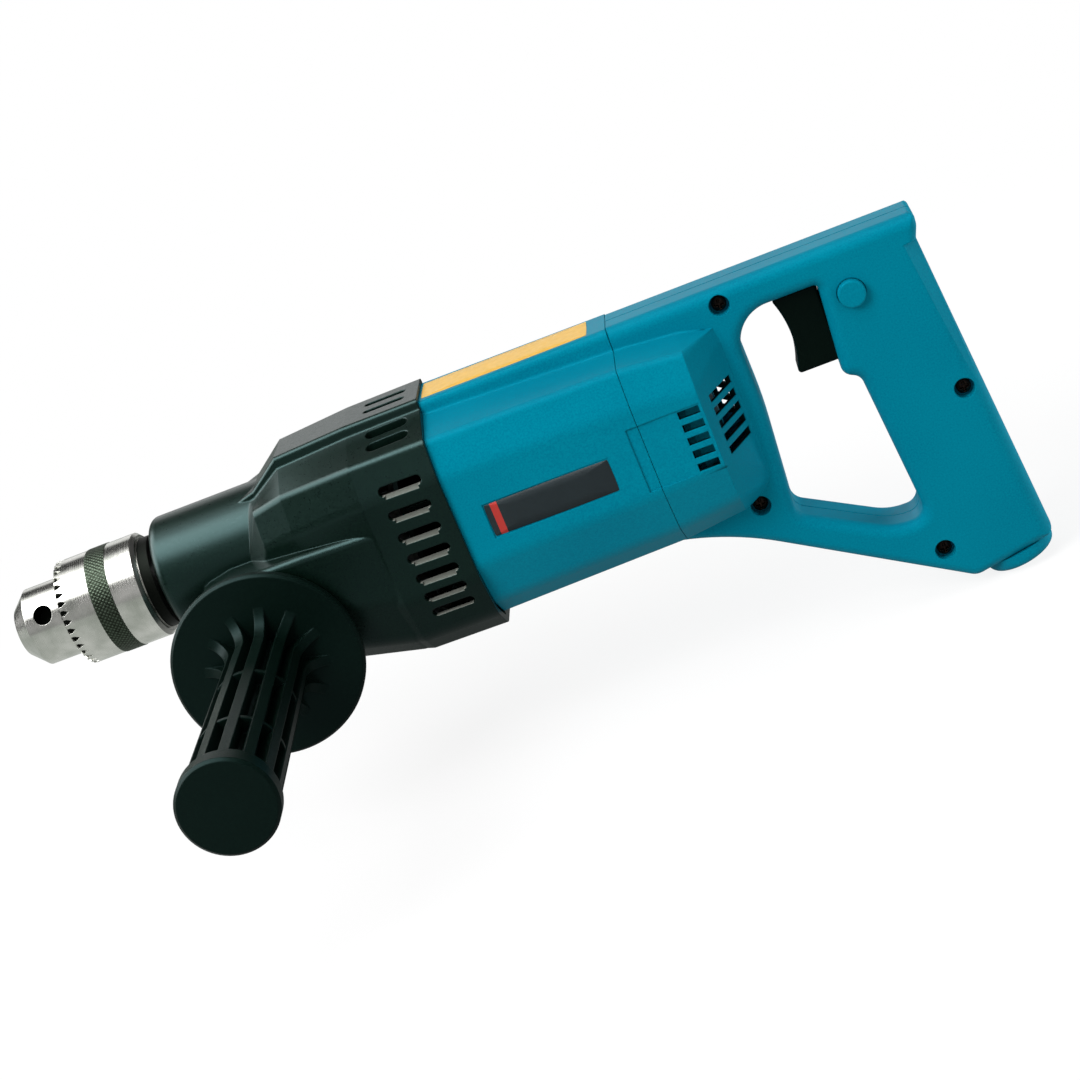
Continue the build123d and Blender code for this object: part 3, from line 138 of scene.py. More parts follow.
@dataclass(frozen=True)
class Finish:
    """What every finish has: a name that says material and process, its colour and its gloss."""

    name: str
    colour: str
    roughness: float

    def material(self) -> bpy.types.Material:
        """The finish's material, made once and then shared.

        Returns:
            The material.
        """
        known = bpy.data.materials.get(self.name)
        if known is not None:
            return known
        material = bpy.data.materials.new(self.name)
        material.use_nodes = True
        tree = material.node_tree
        tree.nodes.clear()
        shader = add_node(tree, "ShaderNodeBsdfPrincipled")
        self.fill(tree, shader)
        add_node(tree, "ShaderNodeOutputMaterial", {"Surface": shader.outputs[0]})
        return material

    def fill(self, tree: Tree, shader: Node) -> None:
        """Sets the shader's sockets and links; each kind of finish has its own.

        Args:
            tree: The material's node tree.
            shader: Its Principled shader.
        """
        feed(tree, shader, {"Base Color": linear(self.colour), "Roughness": self.roughness})

    def position(self, tree: Tree) -> tuple[Socket, ...]:
        """Where the shaded point is, in the frame that all pieces share.

        Args:
            tree: The material's node tree.

        Returns:
            X, Y and Z in metres.
        """
        place = add_node(tree, "ShaderNodeTexCoord")
        parts = add_node(tree, "ShaderNodeSeparateXYZ", {0: place.outputs["Object"]})
        return tuple(parts.outputs)

    def speckle(
        self, tree: Tree, cell_mm: float, detail: float = 2.0
    ) -> Socket:
        """A noise on object coordinates whose cells have a real size.

        Args:
            tree: The material's node tree.
            cell_mm: Size of one cell in millimetres.
            detail: Octaves of the noise.

        Returns:
            The noise's value socket, about 0.5 on average.
        """
        place = add_node(tree, "ShaderNodeTexCoord")
        noise = add_node(
            tree,
            "ShaderNodeTexNoise",
            {"Vector": place.outputs["Object"], "Scale": per_metre(cell_mm), "Detail": detail},
        )
        return noise.outputs[0]

    def spread(
        self, tree: Tree, value: Socket, low: float, high: float
    ) -> Socket:
        """Stretches a noise's middle range over a range of values.

        Args:
            tree: The material's node tree.
            value: The noise.
            low: Result at the low end of the noise's middle range.
            high: Result at its high end.

        Returns:
            The stretched value.
        """
        ranged = add_node(
            tree,
            "ShaderNodeMapRange",
            {
                "Value": value,
                "From Min": NOISE_LOW,
                "From Max": NOISE_HIGH,
                "To Min": low,
                "To Max": high,
            },
        )
        return ranged.outputs[0]

    def shades(
        self, tree: Tree, value: Socket, dark: str, pale: str
    ) -> Socket:
        """A colour between two sRGB colours.

        Args:
            tree: The material's node tree.
            value: 0 for the dark colour, 1 for the pale one.
            dark: The dark colour in hex.
            pale: The pale colour in hex.

        Returns:
            The colour socket.
        """
        mix = add_node(
            tree,
            "ShaderNodeMix",
            {0: value, 6: linear(dark), 7: linear(pale)},
            data_type="RGBA",
            clamp_factor=True,
        )
        return mix.outputs[2]

    def soft_edges(self, tree: Tree, radius_mm: float) -> Socket:
        """Normals that round off sharp edges, as a mould or a deburring tool leaves them.

        Args:
            tree: The material's node tree.
            radius_mm: Radius of the rounding.

        Returns:
            The normal socket.
        """
        bevel = add_node(tree, "ShaderNodeBevel", {"Radius": radius_mm * MM}, samples=BEVEL_SAMPLES)
        return bevel.outputs[0]

    def relief(
        self,
        tree: Tree,
        height: Socket,
        depth_mm: float,
        under: Socket,
    ) -> Socket:
        """Bumps of a real depth on top of other normals.

        Args:
            tree: The material's node tree.
            height: Height from 0 to 1.
            depth_mm: Height of a full bump in millimetres.
            under: The normals below the bumps.

        Returns:
            The normal socket.
        """
        bump = add_node(
            tree,
            "ShaderNodeBump",
            {"Height": height, "Distance": depth_mm * MM, "Strength": 1.0, "Normal": under},
        )
        return bump.outputs[0]

    def past(
        self, tree: Tree, value: Socket, start: float, end: float
    ) -> Socket:
        """A mask that goes from 0 at one value to 1 at another.

        Args:
            tree: The material's node tree.
            value: The value that is measured.
            start: Where the mask is 0.
            end: Where the mask is 1.

        Returns:
            The mask.
        """
        mask = add_node(
            tree, "ShaderNodeMapRange", {"Value": value, "From Min": start, "From Max": end}
        )
        return mask.outputs[0]

    def where_all(
        self, tree: Tree, *masks: Socket
    ) -> Socket:
        """The places that lie in every one of several masks, as the product of the masks.

        Args:
            tree: The material's node tree.
            masks: The masks.

        Returns:
            The joint mask.
        """
        joint = masks[0]
        for mask in masks[1:]:
            product = add_node(tree, "ShaderNodeMath", {0: joint, 1: mask}, operation="MULTIPLY")
            joint = product.outputs[0]
        return joint

    def overlay(
        self,
        tree: Tree,
        shader: Node,
        mask: Socket,
        cover: "Finish",
        metallic: float,
    ) -> None:
        """Shows another surface where a mask is 1.

        Args:
            tree: The material's node tree.
            shader: Its Principled shader, already filled.
            mask: 0 for the finish itself, 1 for the other surface.
            cover: The finish that gives the other surface its colour and roughness.
            metallic: 1 if the other surface is bare metal, else 0.
        """
        own_colour, own_gloss = (
            shader.inputs[name].links[0].from_socket for name in ("Base Color", "Roughness")
        )
        own_metal = shader.inputs["Metallic"].default_value
        colours = {0: mask, 6: own_colour, 7: linear(cover.colour)}
        glosses = {0: mask, 2: own_gloss, 3: cover.roughness}
        metals = {0: mask, 2: own_metal, 3: metallic}
        colour = add_node(tree, "ShaderNodeMix", colours, data_type="RGBA")
        gloss = add_node(tree, "ShaderNodeMix", glosses, data_type="FLOAT")
        metal = add_node(tree, "ShaderNodeMix", metals, data_type="FLOAT")
        feed(
            tree,
            shader,
            {
                "Base Color": colour.outputs[2],
                "Roughness": gloss.outputs[0],
                "Metallic": metal.outputs[0],
            },
        )


@dataclass(frozen=True)
class MouldedPlastic(Finish):
    """Plastic moulded with a spark-eroded grain: a dull sparkle and softly rounded edges."""

    pale: str = "ffffff"
    grain_mm: float = 0.55
    grain_depth_mm: float = 0.012
    edge_mm: float = 0.6
    gloss_level: float = 0.5
    tint: str = "ffffff"
    cloud_mm: float = 45.0
    cloud_share: float = 0.25
    gloss_swing: float = 0.05

    def fill(self, tree: Tree, shader: Node) -> None:
        """Fine grain in colour and relief, with a slow change of tone over the moulding.

        Args:
            tree: The material's node tree.
            shader: Its Principled shader.
        """
        grain = self.speckle(tree, self.grain_mm, 3.0)
        cloud = self.speckle(tree, self.cloud_mm, 1.0)
        blend = add_node(
            tree, "ShaderNodeMix", {0: self.cloud_share, 2: grain, 3: cloud}, data_type="FLOAT"
        )
        tone = self.spread(tree, blend.outputs[0], 0.0, 1.0)
        gloss = self.spread(
            tree, grain, self.roughness - self.gloss_swing, self.roughness + self.gloss_swing
        )
        edges = self.soft_edges(tree, self.edge_mm)
        feed(
            tree,
            shader,
            {
                "Base Color": self.shades(tree, tone, self.colour, self.pale),
                "Roughness": gloss,
                "Normal": self.relief(tree, grain, self.grain_depth_mm, edges),
                "IOR": PLASTIC_IOR,
                "Specular IOR Level": self.gloss_level,
                "Specular Tint": linear(self.tint),
            },
        )


@dataclass(frozen=True)
class VentedPlastic(MouldedPlastic):
    """A moulding with air slots, with near-black painted shade on its inside behind them."""

    # Painted shade: a near-black colour stands in for the shade inside the handle behind its slots.
    slot_shade: Finish = Finish("painted_shade_in_slots", "03100f", 0.9)
    wall_mm: float = 42.3
    slope_start_mm: float = 307.0
    slope_rate: float = 1.91
    slots_from_mm: float = 295.0
    slots_half_height_mm: float = 15.5
    slots_z_mm: float = -11.5
    fade_mm: float = 0.5
    shade_depth_mm: tuple[float, float] = (0.3, 0.9)
    spine_mm: tuple[float, float] = (15.2, 15.8)

    def fill(self, tree: Tree, shader: Node) -> None:
        """The moulding, with painted shade below its outer surface where the slots are.

        The outer surface is at the smaller of the side's half width and a slope behind it.

        Args:
            tree: The material's node tree.
            shader: Its Principled shader.
        """
        super().fill(tree, shader)
        x, y, z = self.position(tree)
        level_start = self.wall_mm + self.slope_rate * self.slope_start_mm
        slope = add_node(
            tree,
            "ShaderNodeMath",
            {0: x, 1: -self.slope_rate, 2: level_start * MM},
            operation="MULTIPLY_ADD",
        )
        wall = {0: slope.outputs[0], 1: self.wall_mm * MM}
        surface = add_node(tree, "ShaderNodeMath", wall, operation="MINIMUM")
        width = add_node(tree, "ShaderNodeMath", {0: y}, operation="ABSOLUTE")
        gap = {0: surface.outputs[0], 1: width.outputs[0]}
        depth = add_node(tree, "ShaderNodeMath", gap, operation="SUBTRACT")
        inside = self.past(tree, depth.outputs[0], *(limit * MM for limit in self.shade_depth_mm))
        slots_start = self.slots_from_mm * MM
        behind = self.past(tree, x, slots_start, slots_start + self.fade_mm * MM)
        middle = {0: z, 1: self.slots_z_mm * MM}
        height = add_node(tree, "ShaderNodeMath", middle, operation="SUBTRACT")
        off = add_node(tree, "ShaderNodeMath", {0: height.outputs[0]}, operation="ABSOLUTE")
        slots_half = self.slots_half_height_mm * MM
        level = self.past(tree, off.outputs[0], slots_half + self.fade_mm * MM, slots_half)
        wide = self.past(tree, width.outputs[0], *(limit * MM for limit in self.spine_mm))
        # Painted shade over the inside of the handle behind the slots.
        painted_shade = self.where_all(tree, inside, behind, level, wide)
        self.overlay(tree, shader, painted_shade, self.slot_shade, 0.0)


@dataclass(frozen=True)
class PaintedCasting(MouldedPlastic):
    """A painted casting, with a pale grey painted highlight on the up-facing sills of its vents."""

    # Painted highlight: pale grey on the up-facing vent sills stands in for the light they catch
    # from above.
    bare: Finish = Finish("painted_sill_highlight", "8f928a", 0.5)
    vents_from_mm: float = 172.5
    flank_mm: float = 33.0
    roof_mm: float = 17.5
    lift: float = 0.92
    lift_fade: float = 0.05
    fade_mm: float = 0.5

    def fill(self, tree: Tree, shader: Node) -> None:
        """The paint, with a pale grey painted highlight on faces of the flanks' vents that look up.

        Args:
            tree: The material's node tree.
            shader: Its Principled shader.
        """
        super().fill(tree, shader)
        x, y, z = self.position(tree)
        fade = self.fade_mm * MM
        turned = add_node(tree, "ShaderNodeTexCoord")
        facing = add_node(tree, "ShaderNodeSeparateXYZ", {0: turned.outputs["Normal"]})
        width = add_node(tree, "ShaderNodeMath", {0: y}, operation="ABSOLUTE")
        up = self.past(tree, facing.outputs[2], self.lift - self.lift_fade, self.lift)
        behind = self.past(tree, x, self.vents_from_mm * MM, self.vents_from_mm * MM + 2 * fade)
        flank = self.past(tree, width.outputs[0], self.flank_mm * MM, self.flank_mm * MM + fade)
        below = self.past(tree, z, self.roof_mm * MM, self.roof_mm * MM - fade)
        # Painted highlight on the faces of the vent sills that look up.
        sills = self.where_all(tree, up, behind, flank, below)
        self.overlay(tree, shader, sills, self.bare, 0.0)


@dataclass(frozen=True)
class MachinedMetal(Finish):
    """Bare machined metal: fine tool marks that break up its reflections, and bright edges."""

    dark: str = "5a5a5a"
    marks: MarkPath = MarkPath.AROUND_SPINDLE
    mark_mm: float = 0.35
    mark_depth_mm: float = 0.004
    edge_mm: float = 0.25
    stain_mm: float = 9.0
    stain_low: float = 0.35
    gloss_swing: tuple[float, float] = (0.06, 0.08)

    def fill(self, tree: Tree, shader: Node) -> None:
        """Tool marks as a noise along the way the tool stepped, with faint stains.

        Args:
            tree: The material's node tree.
            shader: Its Principled shader.
        """
        if self.marks is MarkPath.AROUND_SPINDLE:
            marks = self.turning(tree)
        else:
            marks = self.speckle(tree, self.mark_mm)
        stain = self.spread(tree, self.speckle(tree, self.stain_mm, 3.0), self.stain_low, 1.0)
        smoother, rougher = self.gloss_swing
        edges = self.soft_edges(tree, self.edge_mm)
        feed(
            tree,
            shader,
            {
                "Base Color": self.shades(tree, stain, self.dark, self.colour),
                "Roughness": self.spread(
                    tree, marks, self.roughness - smoother, self.roughness + rougher
                ),
                "Normal": self.relief(tree, marks, self.mark_depth_mm, edges),
                "Metallic": 1.0,
            },
        )

    def from_axis(
        self, tree: Tree
    ) -> tuple[Socket, Socket]:
        """Where the shaded point lies about the spindle axis, which is the frame's X axis.

        Args:
            tree: The material's node tree.

        Returns:
            The distance along the axis and the distance from it.
        """
        x, y, z = self.position(tree)
        across = add_node(tree, "ShaderNodeCombineXYZ", {1: y, 2: z})
        reach = add_node(tree, "ShaderNodeVectorMath", {0: across.outputs[0]}, operation="LENGTH")
        return x, reach.outputs["Value"]

    def turning(self, tree: Tree) -> Socket:
        """Lathe marks: a noise of the distance along the axis plus the distance from it.

        Args:
            tree: The material's node tree.

        Returns:
            The noise's value socket.
        """
        along, reach = self.from_axis(tree)
        walk = add_node(tree, "ShaderNodeMath", {0: along, 1: reach}, operation="ADD")
        noise = add_node(
            tree,
            "ShaderNodeTexNoise",
            {"W": walk.outputs[0], "Scale": per_metre(self.mark_mm), "Detail": 2.0},
            noise_dimensions="1D",
        )
        return noise.outputs[0]


@dataclass(frozen=True)
class ChuckSteel(MachinedMetal):
    """Turned chuck steel, with painted shade inside its bores and black on its rear collar."""

    # Painted shade inside the bores; the rear collar is simply black.
    scale: Finish = Finish("painted_bore_shade_black_collar", "191c19", 0.55)
    bore_mm: float = 16.4
    collar_mm: float = 61.6
    mouth_mm: float = 8.5
    bore_fade_mm: float = 0.4
    rim_fade_mm: float = 0.3

    def fill(self, tree: Tree, shader: Node) -> None:
        """Turned steel, with near-black painted shade inside the bores' rims, and black on the
        collar.

        Args:
            tree: The material's node tree.
            shader: Its Principled shader.
        """
        super().fill(tree, shader)
        along, reach = self.from_axis(tree)
        rim_fade = self.rim_fade_mm * MM
        sunk = self.past(tree, reach, self.bore_mm * MM, (self.bore_mm - self.bore_fade_mm) * MM)
        behind_mouth = self.past(tree, along, self.mouth_mm * MM, self.mouth_mm * MM + rim_fade)
        collar = self.past(tree, along, self.collar_mm * MM, self.collar_mm * MM + rim_fade)
        # Painted shade inside the bores behind the mouth, and black on the rear collar.
        either = {0: self.where_all(tree, sunk, behind_mouth), 1: collar}
        black = add_node(tree, "ShaderNodeMath", either, operation="MAXIMUM")
        self.overlay(tree, shader, black.outputs[0], self.scale, 1.0)


@dataclass(frozen=True)
class KnurledSteel(Finish):
    """Steel rolled with a diamond knurl: bright crests, with painted shade in the grooves between
    them.
    """

    # Painted shade: the near-black colour of the grooves.
    groove: str = "2a2a2a"
    attribute: str = "crest"
    dirt_mm: float = 1.2
    dirt_swing: float = 0.12

    def fill(self, tree: Tree, shader: Node) -> None:
        """Colour from the height that the mesh stores at its points: painted shade in the grooves,
        and a little dirt.

        Args:
            tree: The material's node tree.
            shader: Its Principled shader.
        """
        crest = add_node(tree, "ShaderNodeAttribute", attribute_name=self.attribute)
        dirt = self.spread(
            tree, self.speckle(tree, self.dirt_mm), -self.dirt_swing, self.dirt_swing
        )
        level = add_node(
            tree,
            "ShaderNodeMath",
            {0: crest.outputs["Fac"], 1: dirt},
            operation="ADD",
            use_clamp=True,
        )
        colour = self.shades(tree, level.outputs[0], self.groove, self.colour)
        feed(tree, shader, {"Base Color": colour, "Roughness": self.roughness, "Metallic": 1.0})


@dataclass(frozen=True)
class PrintedPlate(Finish):
    """Printed film or plate: a smooth, faintly scuffed ground that may carry one plain band."""

    band: str | None = None
    band_from_mm: float = 0.0
    band_to_mm: float = 0.0
    scuff_mm: float = 3.0
    scuff_low: float = 0.9
    smear_mm: float = 2.0
    gloss_swing: float = 0.06

    def fill(self, tree: Tree, shader: Node) -> None:
        """A scuffed ground colour, with the band over it if there is one.

        Args:
            tree: The material's node tree.
            shader: Its Principled shader.
        """
        scuff = self.spread(tree, self.speckle(tree, self.scuff_mm, 4.0), self.scuff_low, 1.0)
        colour = self.shades(tree, scuff, "000000", self.colour)
        if self.band is not None:
            colour = self.banded(tree, colour, self.band)
        smear = self.speckle(tree, self.smear_mm, 3.0)
        gloss = self.spread(
            tree, smear, self.roughness - self.gloss_swing, self.roughness + self.gloss_swing
        )
        feed(tree, shader, {"Base Color": colour, "Roughness": gloss})

    def banded(
        self, tree: Tree, ground: Socket, band: str
    ) -> Socket:
        """Puts a band of another colour across the plate, between two places along X.

        Args:
            tree: The material's node tree.
            ground: Colour of the plate.
            band: Colour of the band in hex.

        Returns:
            The colour socket.
        """
        middle = (self.band_from_mm + self.band_to_mm) / 2 * MM
        half = (self.band_to_mm - self.band_from_mm) / 2 * MM
        inside = add_node(
            tree,
            "ShaderNodeMath",
            {0: self.position(tree)[0], 1: middle, 2: half},
            operation="COMPARE",
        )
        mix = add_node(
            tree,
            "ShaderNodeMix",
            {0: inside.outputs[0], 6: ground, 7: linear(band)},
            data_type="RGBA",
        )
        return mix.outputs[2]


# ABS moulded in a spark-eroded tool: an even teal with a dull, broken shine. The real grain of
# about 0.1 mm is too fine to show, so it is drawn at 0.75 mm.
TEAL_ABS = MouldedPlastic(
    "abs_teal_spark_grain",
    "00708a",
    0.46,
    pale="00849c",
    grain_mm=0.75,
    gloss_level=0.24,
    tint="3fa9bf",
)
# The same moulding with air slots, with painted shade inside them so that they read as dark holes.
TEAL_VENTED_ABS = VentedPlastic(**{**asdict(TEAL_ABS), "name": "abs_teal_spark_grain_vented"})
# Cast gear case under semi-gloss black paint: long soft highlights along its edges, and a painted
# highlight on the sills in the vents. The paint's orange peel is drawn a little coarse to show.
BLACK_CASE = PaintedCasting(
    "casting_black_semi_gloss_paint",
    "030d0a",
    0.32,
    pale="07170f",
    grain_mm=0.8,
    grain_depth_mm=0.008,
    edge_mm=0.8,
    gloss_level=0.9,
    tint="8ab2b3",
)
# Moulded nylon: nearly black, with a weak satin shine on the ribs.
BLACK_GRIP = MouldedPlastic(
    "nylon_black_moulded_semi_gloss",
    "020a07",
    0.42,
    pale="06130e",
    grain_mm=0.7,
    grain_depth_mm=0.01,
    edge_mm=0.7,
    gloss_level=0.32,
    tint="8ab2b3",
)
# Matt moulded nylon for trigger, switch and fan: black with hardly a highlight.
BLACK_CONTROL = MouldedPlastic(
    "nylon_black_moulded_matt",
    "020805",
    0.5,
    pale="060f09",
    grain_mm=0.6,
    gloss_level=0.22,
    tint="8ab2b3",
)
# Nitrile rubber: dull dark grey, without highlights.
BLACK_RUBBER = MouldedPlastic(
    "nitrile_rubber_black", "101111", 0.65, pale="191a1a", grain_mm=0.9, gloss_level=0.3
)
# Turned chuck steel: a white band and grey flanks, broken by rings of tool marks. A real feed
# of about 0.1 mm is too fine to show, so the rings are drawn at 0.35 mm.
CHUCK_STEEL = ChuckSteel("chuck_steel_turned_satin", "eae9e4", 0.2, dark="a9aea4")
# The same steel on the sleeve, whose bore is wider and has no mouth of its own.
SLEEVE_STEEL = replace(
    CHUCK_STEEL, name="chuck_sleeve_steel_turned_satin", bore_mm=19.3, mouth_mm=0.0
)
# Ground tool steel: an even bright grey without a direction.
GROUND_STEEL = MachinedMetal(
    "tool_steel_ground", "b4b4b5", 0.3, dark="8a8a8c", marks=MarkPath.ALL_WAYS
)
# Blackened screw steel: dark brown-grey with small highlights on the heads.
SCREW_STEEL = MachinedMetal(
    "screw_steel_blackened", "3a302b", 0.42, dark="1d1715", marks=MarkPath.ALL_WAYS
)
# Cast aluminium: pale grey with a coarse, matt skin.
CAST_ALUMINIUM = MachinedMetal(
    "aluminium_cast", "c2c4c6", 0.45, dark="9fa1a3", marks=MarkPath.ALL_WAYS, mark_mm=0.9
)
# Sintered bronze: dull gold with a fine, porous skin.
SINTERED_BRONZE = MachinedMetal(
    "bronze_sintered", "b88a4e", 0.45, dark="8d6636", marks=MarkPath.ALL_WAYS
)
# Stacked and varnished motor sheets: mid grey with fine lines across the axis. Real sheets are
# about 0.5 mm thick, which is the size drawn.
LAMINATED_STEEL = MachinedMetal(
    "electrical_steel_laminated_varnished", "8b8c8f", 0.4, dark="5f6063", mark_mm=0.5
)
# Enamelled copper wire: red-brown, with the lines of the turns.
ENAMELLED_COPPER = MachinedMetal(
    "copper_wire_enamelled", "b5653a", 0.38, dark="84421f", mark_mm=0.6
)
# Pressed carbon: matt charcoal grey.
PRESSED_CARBON = MouldedPlastic("carbon_pressed", "1b1b1c", 0.6, pale="272728")
# Rolled knurl: light diamond crests with painted shade in the grooves, grey-green as a whole.
KNURL_STEEL = KnurledSteel("chuck_steel_diamond_knurl", "687667", 0.45, groove="171b12")
# Printed plate: charcoal with one short red bar, smooth beside the grained plastic.
BADGE_PLATE = PrintedPlate(
    "badge_plate_printed_charcoal",
    "1e282c",
    0.4,
    band="b3322c",
    band_from_mm=213.0,
    band_to_mm=216.0,
)
# Vinyl film with a printed flat colour: one even warm yellow with a weak satin shine.
YELLOW_FILM = PrintedPlate("vinyl_film_yellow", "e6b751", 0.4)


def grid_object(
    name: str,
    points: np.ndarray,
    closed_around: bool = True,
    attribute: tuple[str, np.ndarray] | None = None,
) -> Piece:
    """Makes an object of quads from a grid of points, with smooth shading.

    Args:
        name: The object's name.
        points: Array of shape (rows, columns, 3) in metres; columns run round, rows run along.
        closed_around: True if the last column joins the first.
        attribute: A name and an array of shape (rows, columns), stored at the points.

    Returns:
        The new object, linked to the scene.
    """
    rows, columns = points.shape[:2]
    number = np.arange(rows * columns).reshape(rows, columns)
    here, beside = number, np.roll(number, -1, axis=1)
    if not closed_around:
        here, beside = number[:, :-1], number[:, 1:]
    quads = np.stack([here[:-1], beside[:-1], beside[1:], here[1:]], axis=-1).reshape(-1, 4)
    mesh = bpy.data.meshes.new(name)
    mesh.from_pydata(points.reshape(-1, 3).tolist(), [], quads.tolist())
    mesh.polygons.foreach_set("use_smooth", np.ones(len(quads), dtype=bool))
    if attribute is not None:
        layer = mesh.attributes.new(attribute[0], "FLOAT", "POINT")
        layer.data.foreach_set("value", attribute[1].astype(np.float32).ravel())
    mesh.update()
    piece = bpy.data.objects.new(name, mesh)
    bpy.context.scene.collection.objects.link(piece)
    return piece


def dress(nodes: dict[str, Piece], names: tuple[str, ...], finish: Finish) -> None:
    """Gives CAD nodes a finish.

    Args:
        nodes: The frame's nodes by name.
        names: The nodes to dress.
        finish: Their finish.
    """
    for name in names:
        data = nodes[name].data
        data.materials.clear()
        data.materials.append(finish.material())
        LOG.info("%s: %s", name, finish.name)


def add_piece(piece: Piece, body: str, finish: Finish) -> None:
    """Puts a new piece on a CAD body and gives it its finish.

    Args:
        piece: The new object, already in place.
        body: The CAD body it rides on.
        finish: Its finish.
    """
    piece.data.materials.append(finish.material())
    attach(piece, body)
    LOG.info("%s rides on %s: %s", piece.name, body, finish.name)


@dataclass
class Chuck:
    """Keyed chuck: CAD body, sleeve and jaws, and the rolled knurl round the sleeve."""

    band_start: float = 38.8
    band_end: float = 48.5
    sleeve_radius: float = 23.0
    groove_lift: float = 0.04
    edge_sink: float = 0.1
    edge_width: float = 0.5
    crest_height: float = 0.26
    diamonds_around: int = 80
    diamond_length: float = 2.0
    points_per_diamond: int = 8

    def knurl(self) -> Piece:
        """The knurled band: the sleeve's radius plus the lower of two crossing sawtooth waves.

        The waves run along two opposite helices, u = n a + x / p and v = n a - x / p, where a is
        the share of a turn, n the diamonds round and p the length of a diamond. Both edges sink in.

        Returns:
            The band.
        """
        columns = self.diamonds_around * self.points_per_diamond
        length = (self.band_end - self.band_start) / self.diamond_length
        rows = int(length * self.points_per_diamond)
        turn = np.arange(columns) / columns
        along = np.linspace(self.band_start, self.band_end, rows)
        share, station = np.meshgrid(turn, along)
        first = self.diamonds_around * share + station / self.diamond_length
        second = self.diamonds_around * share - station / self.diamond_length
        wave = np.minimum(np.abs(first % 1 - 0.5), np.abs(second % 1 - 0.5)) * 2
        inset = np.minimum(station - self.band_start, self.band_end - station)
        edge = np.clip(inset / self.edge_width, 0, 1)
        crest = wave * edge
        base = self.sleeve_radius - self.edge_sink + (self.edge_sink + self.groove_lift) * edge
        radius = base + self.crest_height * crest
        angle = 2 * np.pi * share
        points = np.stack([station, radius * np.cos(angle), radius * np.sin(angle)], axis=-1)
        return grid_object("knurl_band", points * MM, attribute=("crest", crest))

    def build(self, nodes: dict[str, Piece]) -> None:
        """Dresses the CAD nodes and adds the knurl.

        Args:
            nodes: The frame's nodes by name.
        """
        dress(nodes, ("chuck_body",), CHUCK_STEEL)
        dress(nodes, ("chuck_sleeve",), SLEEVE_STEEL)
        dress(nodes, ("chuck_jaw_1", "chuck_jaw_2", "chuck_jaw_3", "chuck_nut"), GROUND_STEEL)
        dress(nodes, ("chuck_screw",), SCREW_STEEL)
        add_piece(self.knurl(), "sleeve", KNURL_STEEL)


@dataclass
class Housings:
    """Gear housing and motor housing, with the bare badge plate and the plain film on the spine."""

    badge_x: tuple[float, float] = (210.4, 264.1)
    badge_z: tuple[float, float] = (-20.1, -5.8)
    badge_face: float = -43.15
    badge_corner: float = 1.2
    badge_thickness: float = 0.3
    film_x: tuple[float, float] = (199.0, 272.0)
    film_half: float = 10.6
    film_top: float = 36.55
    film_corner: float = 1.5
    film_thickness: float = 0.2
    outline_points: int = 240
    outline_reach: float = 1.6
    ring_sizes: tuple[float, ...] = (1.0, 1.0, 0.995, 0.5, 0.0)
    ring_depths: tuple[float, ...] = (1.0, 0.3, 0.0, 0.0, 0.0)

    def plate(
        self, name: str, long: tuple[float, float], wide: tuple[float, float], corner: float
    ) -> np.ndarray:
        """A flat plate with rounded corners, as rings that shrink from its edge to its middle.

        The outline is a circle of the corner's radius about a point that runs round a smaller
        rectangle: each coordinate is a cosine or sine, clipped to the rectangle, plus the circle's.

        Args:
            name: What the plate is, for the log.
            long: Range along the first axis in millimetres.
            wide: Range along the second axis in millimetres.
            corner: Radius of the corners in millimetres.

        Returns:
            Array (rings, points, 3): first axis, second axis, and depth below the face from 0 to 1.
        """
        LOG.info("%s: %.1f by %.1f mm", name, long[1] - long[0], wide[1] - wide[0])
        angle = np.linspace(0, 2 * np.pi, self.outline_points, endpoint=False)
        half_long, half_wide = (long[1] - long[0]) / 2, (wide[1] - wide[0]) / 2
        core_long, core_wide = half_long - corner, half_wide - corner
        along, across = np.cos(angle), np.sin(angle)
        far_long, far_wide = half_long * self.outline_reach, half_wide * self.outline_reach
        ring_long = np.clip(along * far_long, -core_long, core_long) + corner * along
        ring_wide = np.clip(across * far_wide, -core_wide, core_wide) + corner * across
        shrink = np.array(self.ring_sizes)[:, None]
        depth = np.array(self.ring_depths)[:, None] * np.ones_like(angle)
        first = (long[0] + long[1]) / 2 + ring_long * shrink
        second = (wide[0] + wide[1]) / 2 + ring_wide * shrink
        return np.stack([first, second, depth], axis=-1)

    def badge(self) -> Piece:
        """The bare badge plate in its recess on the left side."""
        flat = self.plate("badge_plate", self.badge_x, self.badge_z, self.badge_corner)
        face = self.badge_face + self.badge_thickness * flat[..., 2]
        points = np.stack([flat[..., 0], face, flat[..., 1]], axis=-1)
        return grid_object("badge_plate", points * MM)

    def film(self) -> Piece:
        """The plain film along the spine."""
        wide = (-self.film_half, self.film_half)
        flat = self.plate("spine_film", self.film_x, wide, self.film_corner)
        face = self.film_top - self.film_thickness * flat[..., 2]
        points = np.stack([flat[..., 0], -flat[..., 1], face], axis=-1)
        return grid_object("spine_film", points * MM)

    def build(self, nodes: dict[str, Piece]) -> None:
        """Dresses the housings and adds the badge plate and the film.

        Args:
            nodes: The frame's nodes by name.
        """
        dress(nodes, ("gear_housing",), BLACK_CASE)
        dress(nodes, ("motor_housing",), TEAL_ABS)
        add_piece(self.badge(), "housing", BADGE_PLATE)
        add_piece(self.film(), "housing", YELLOW_FILM)


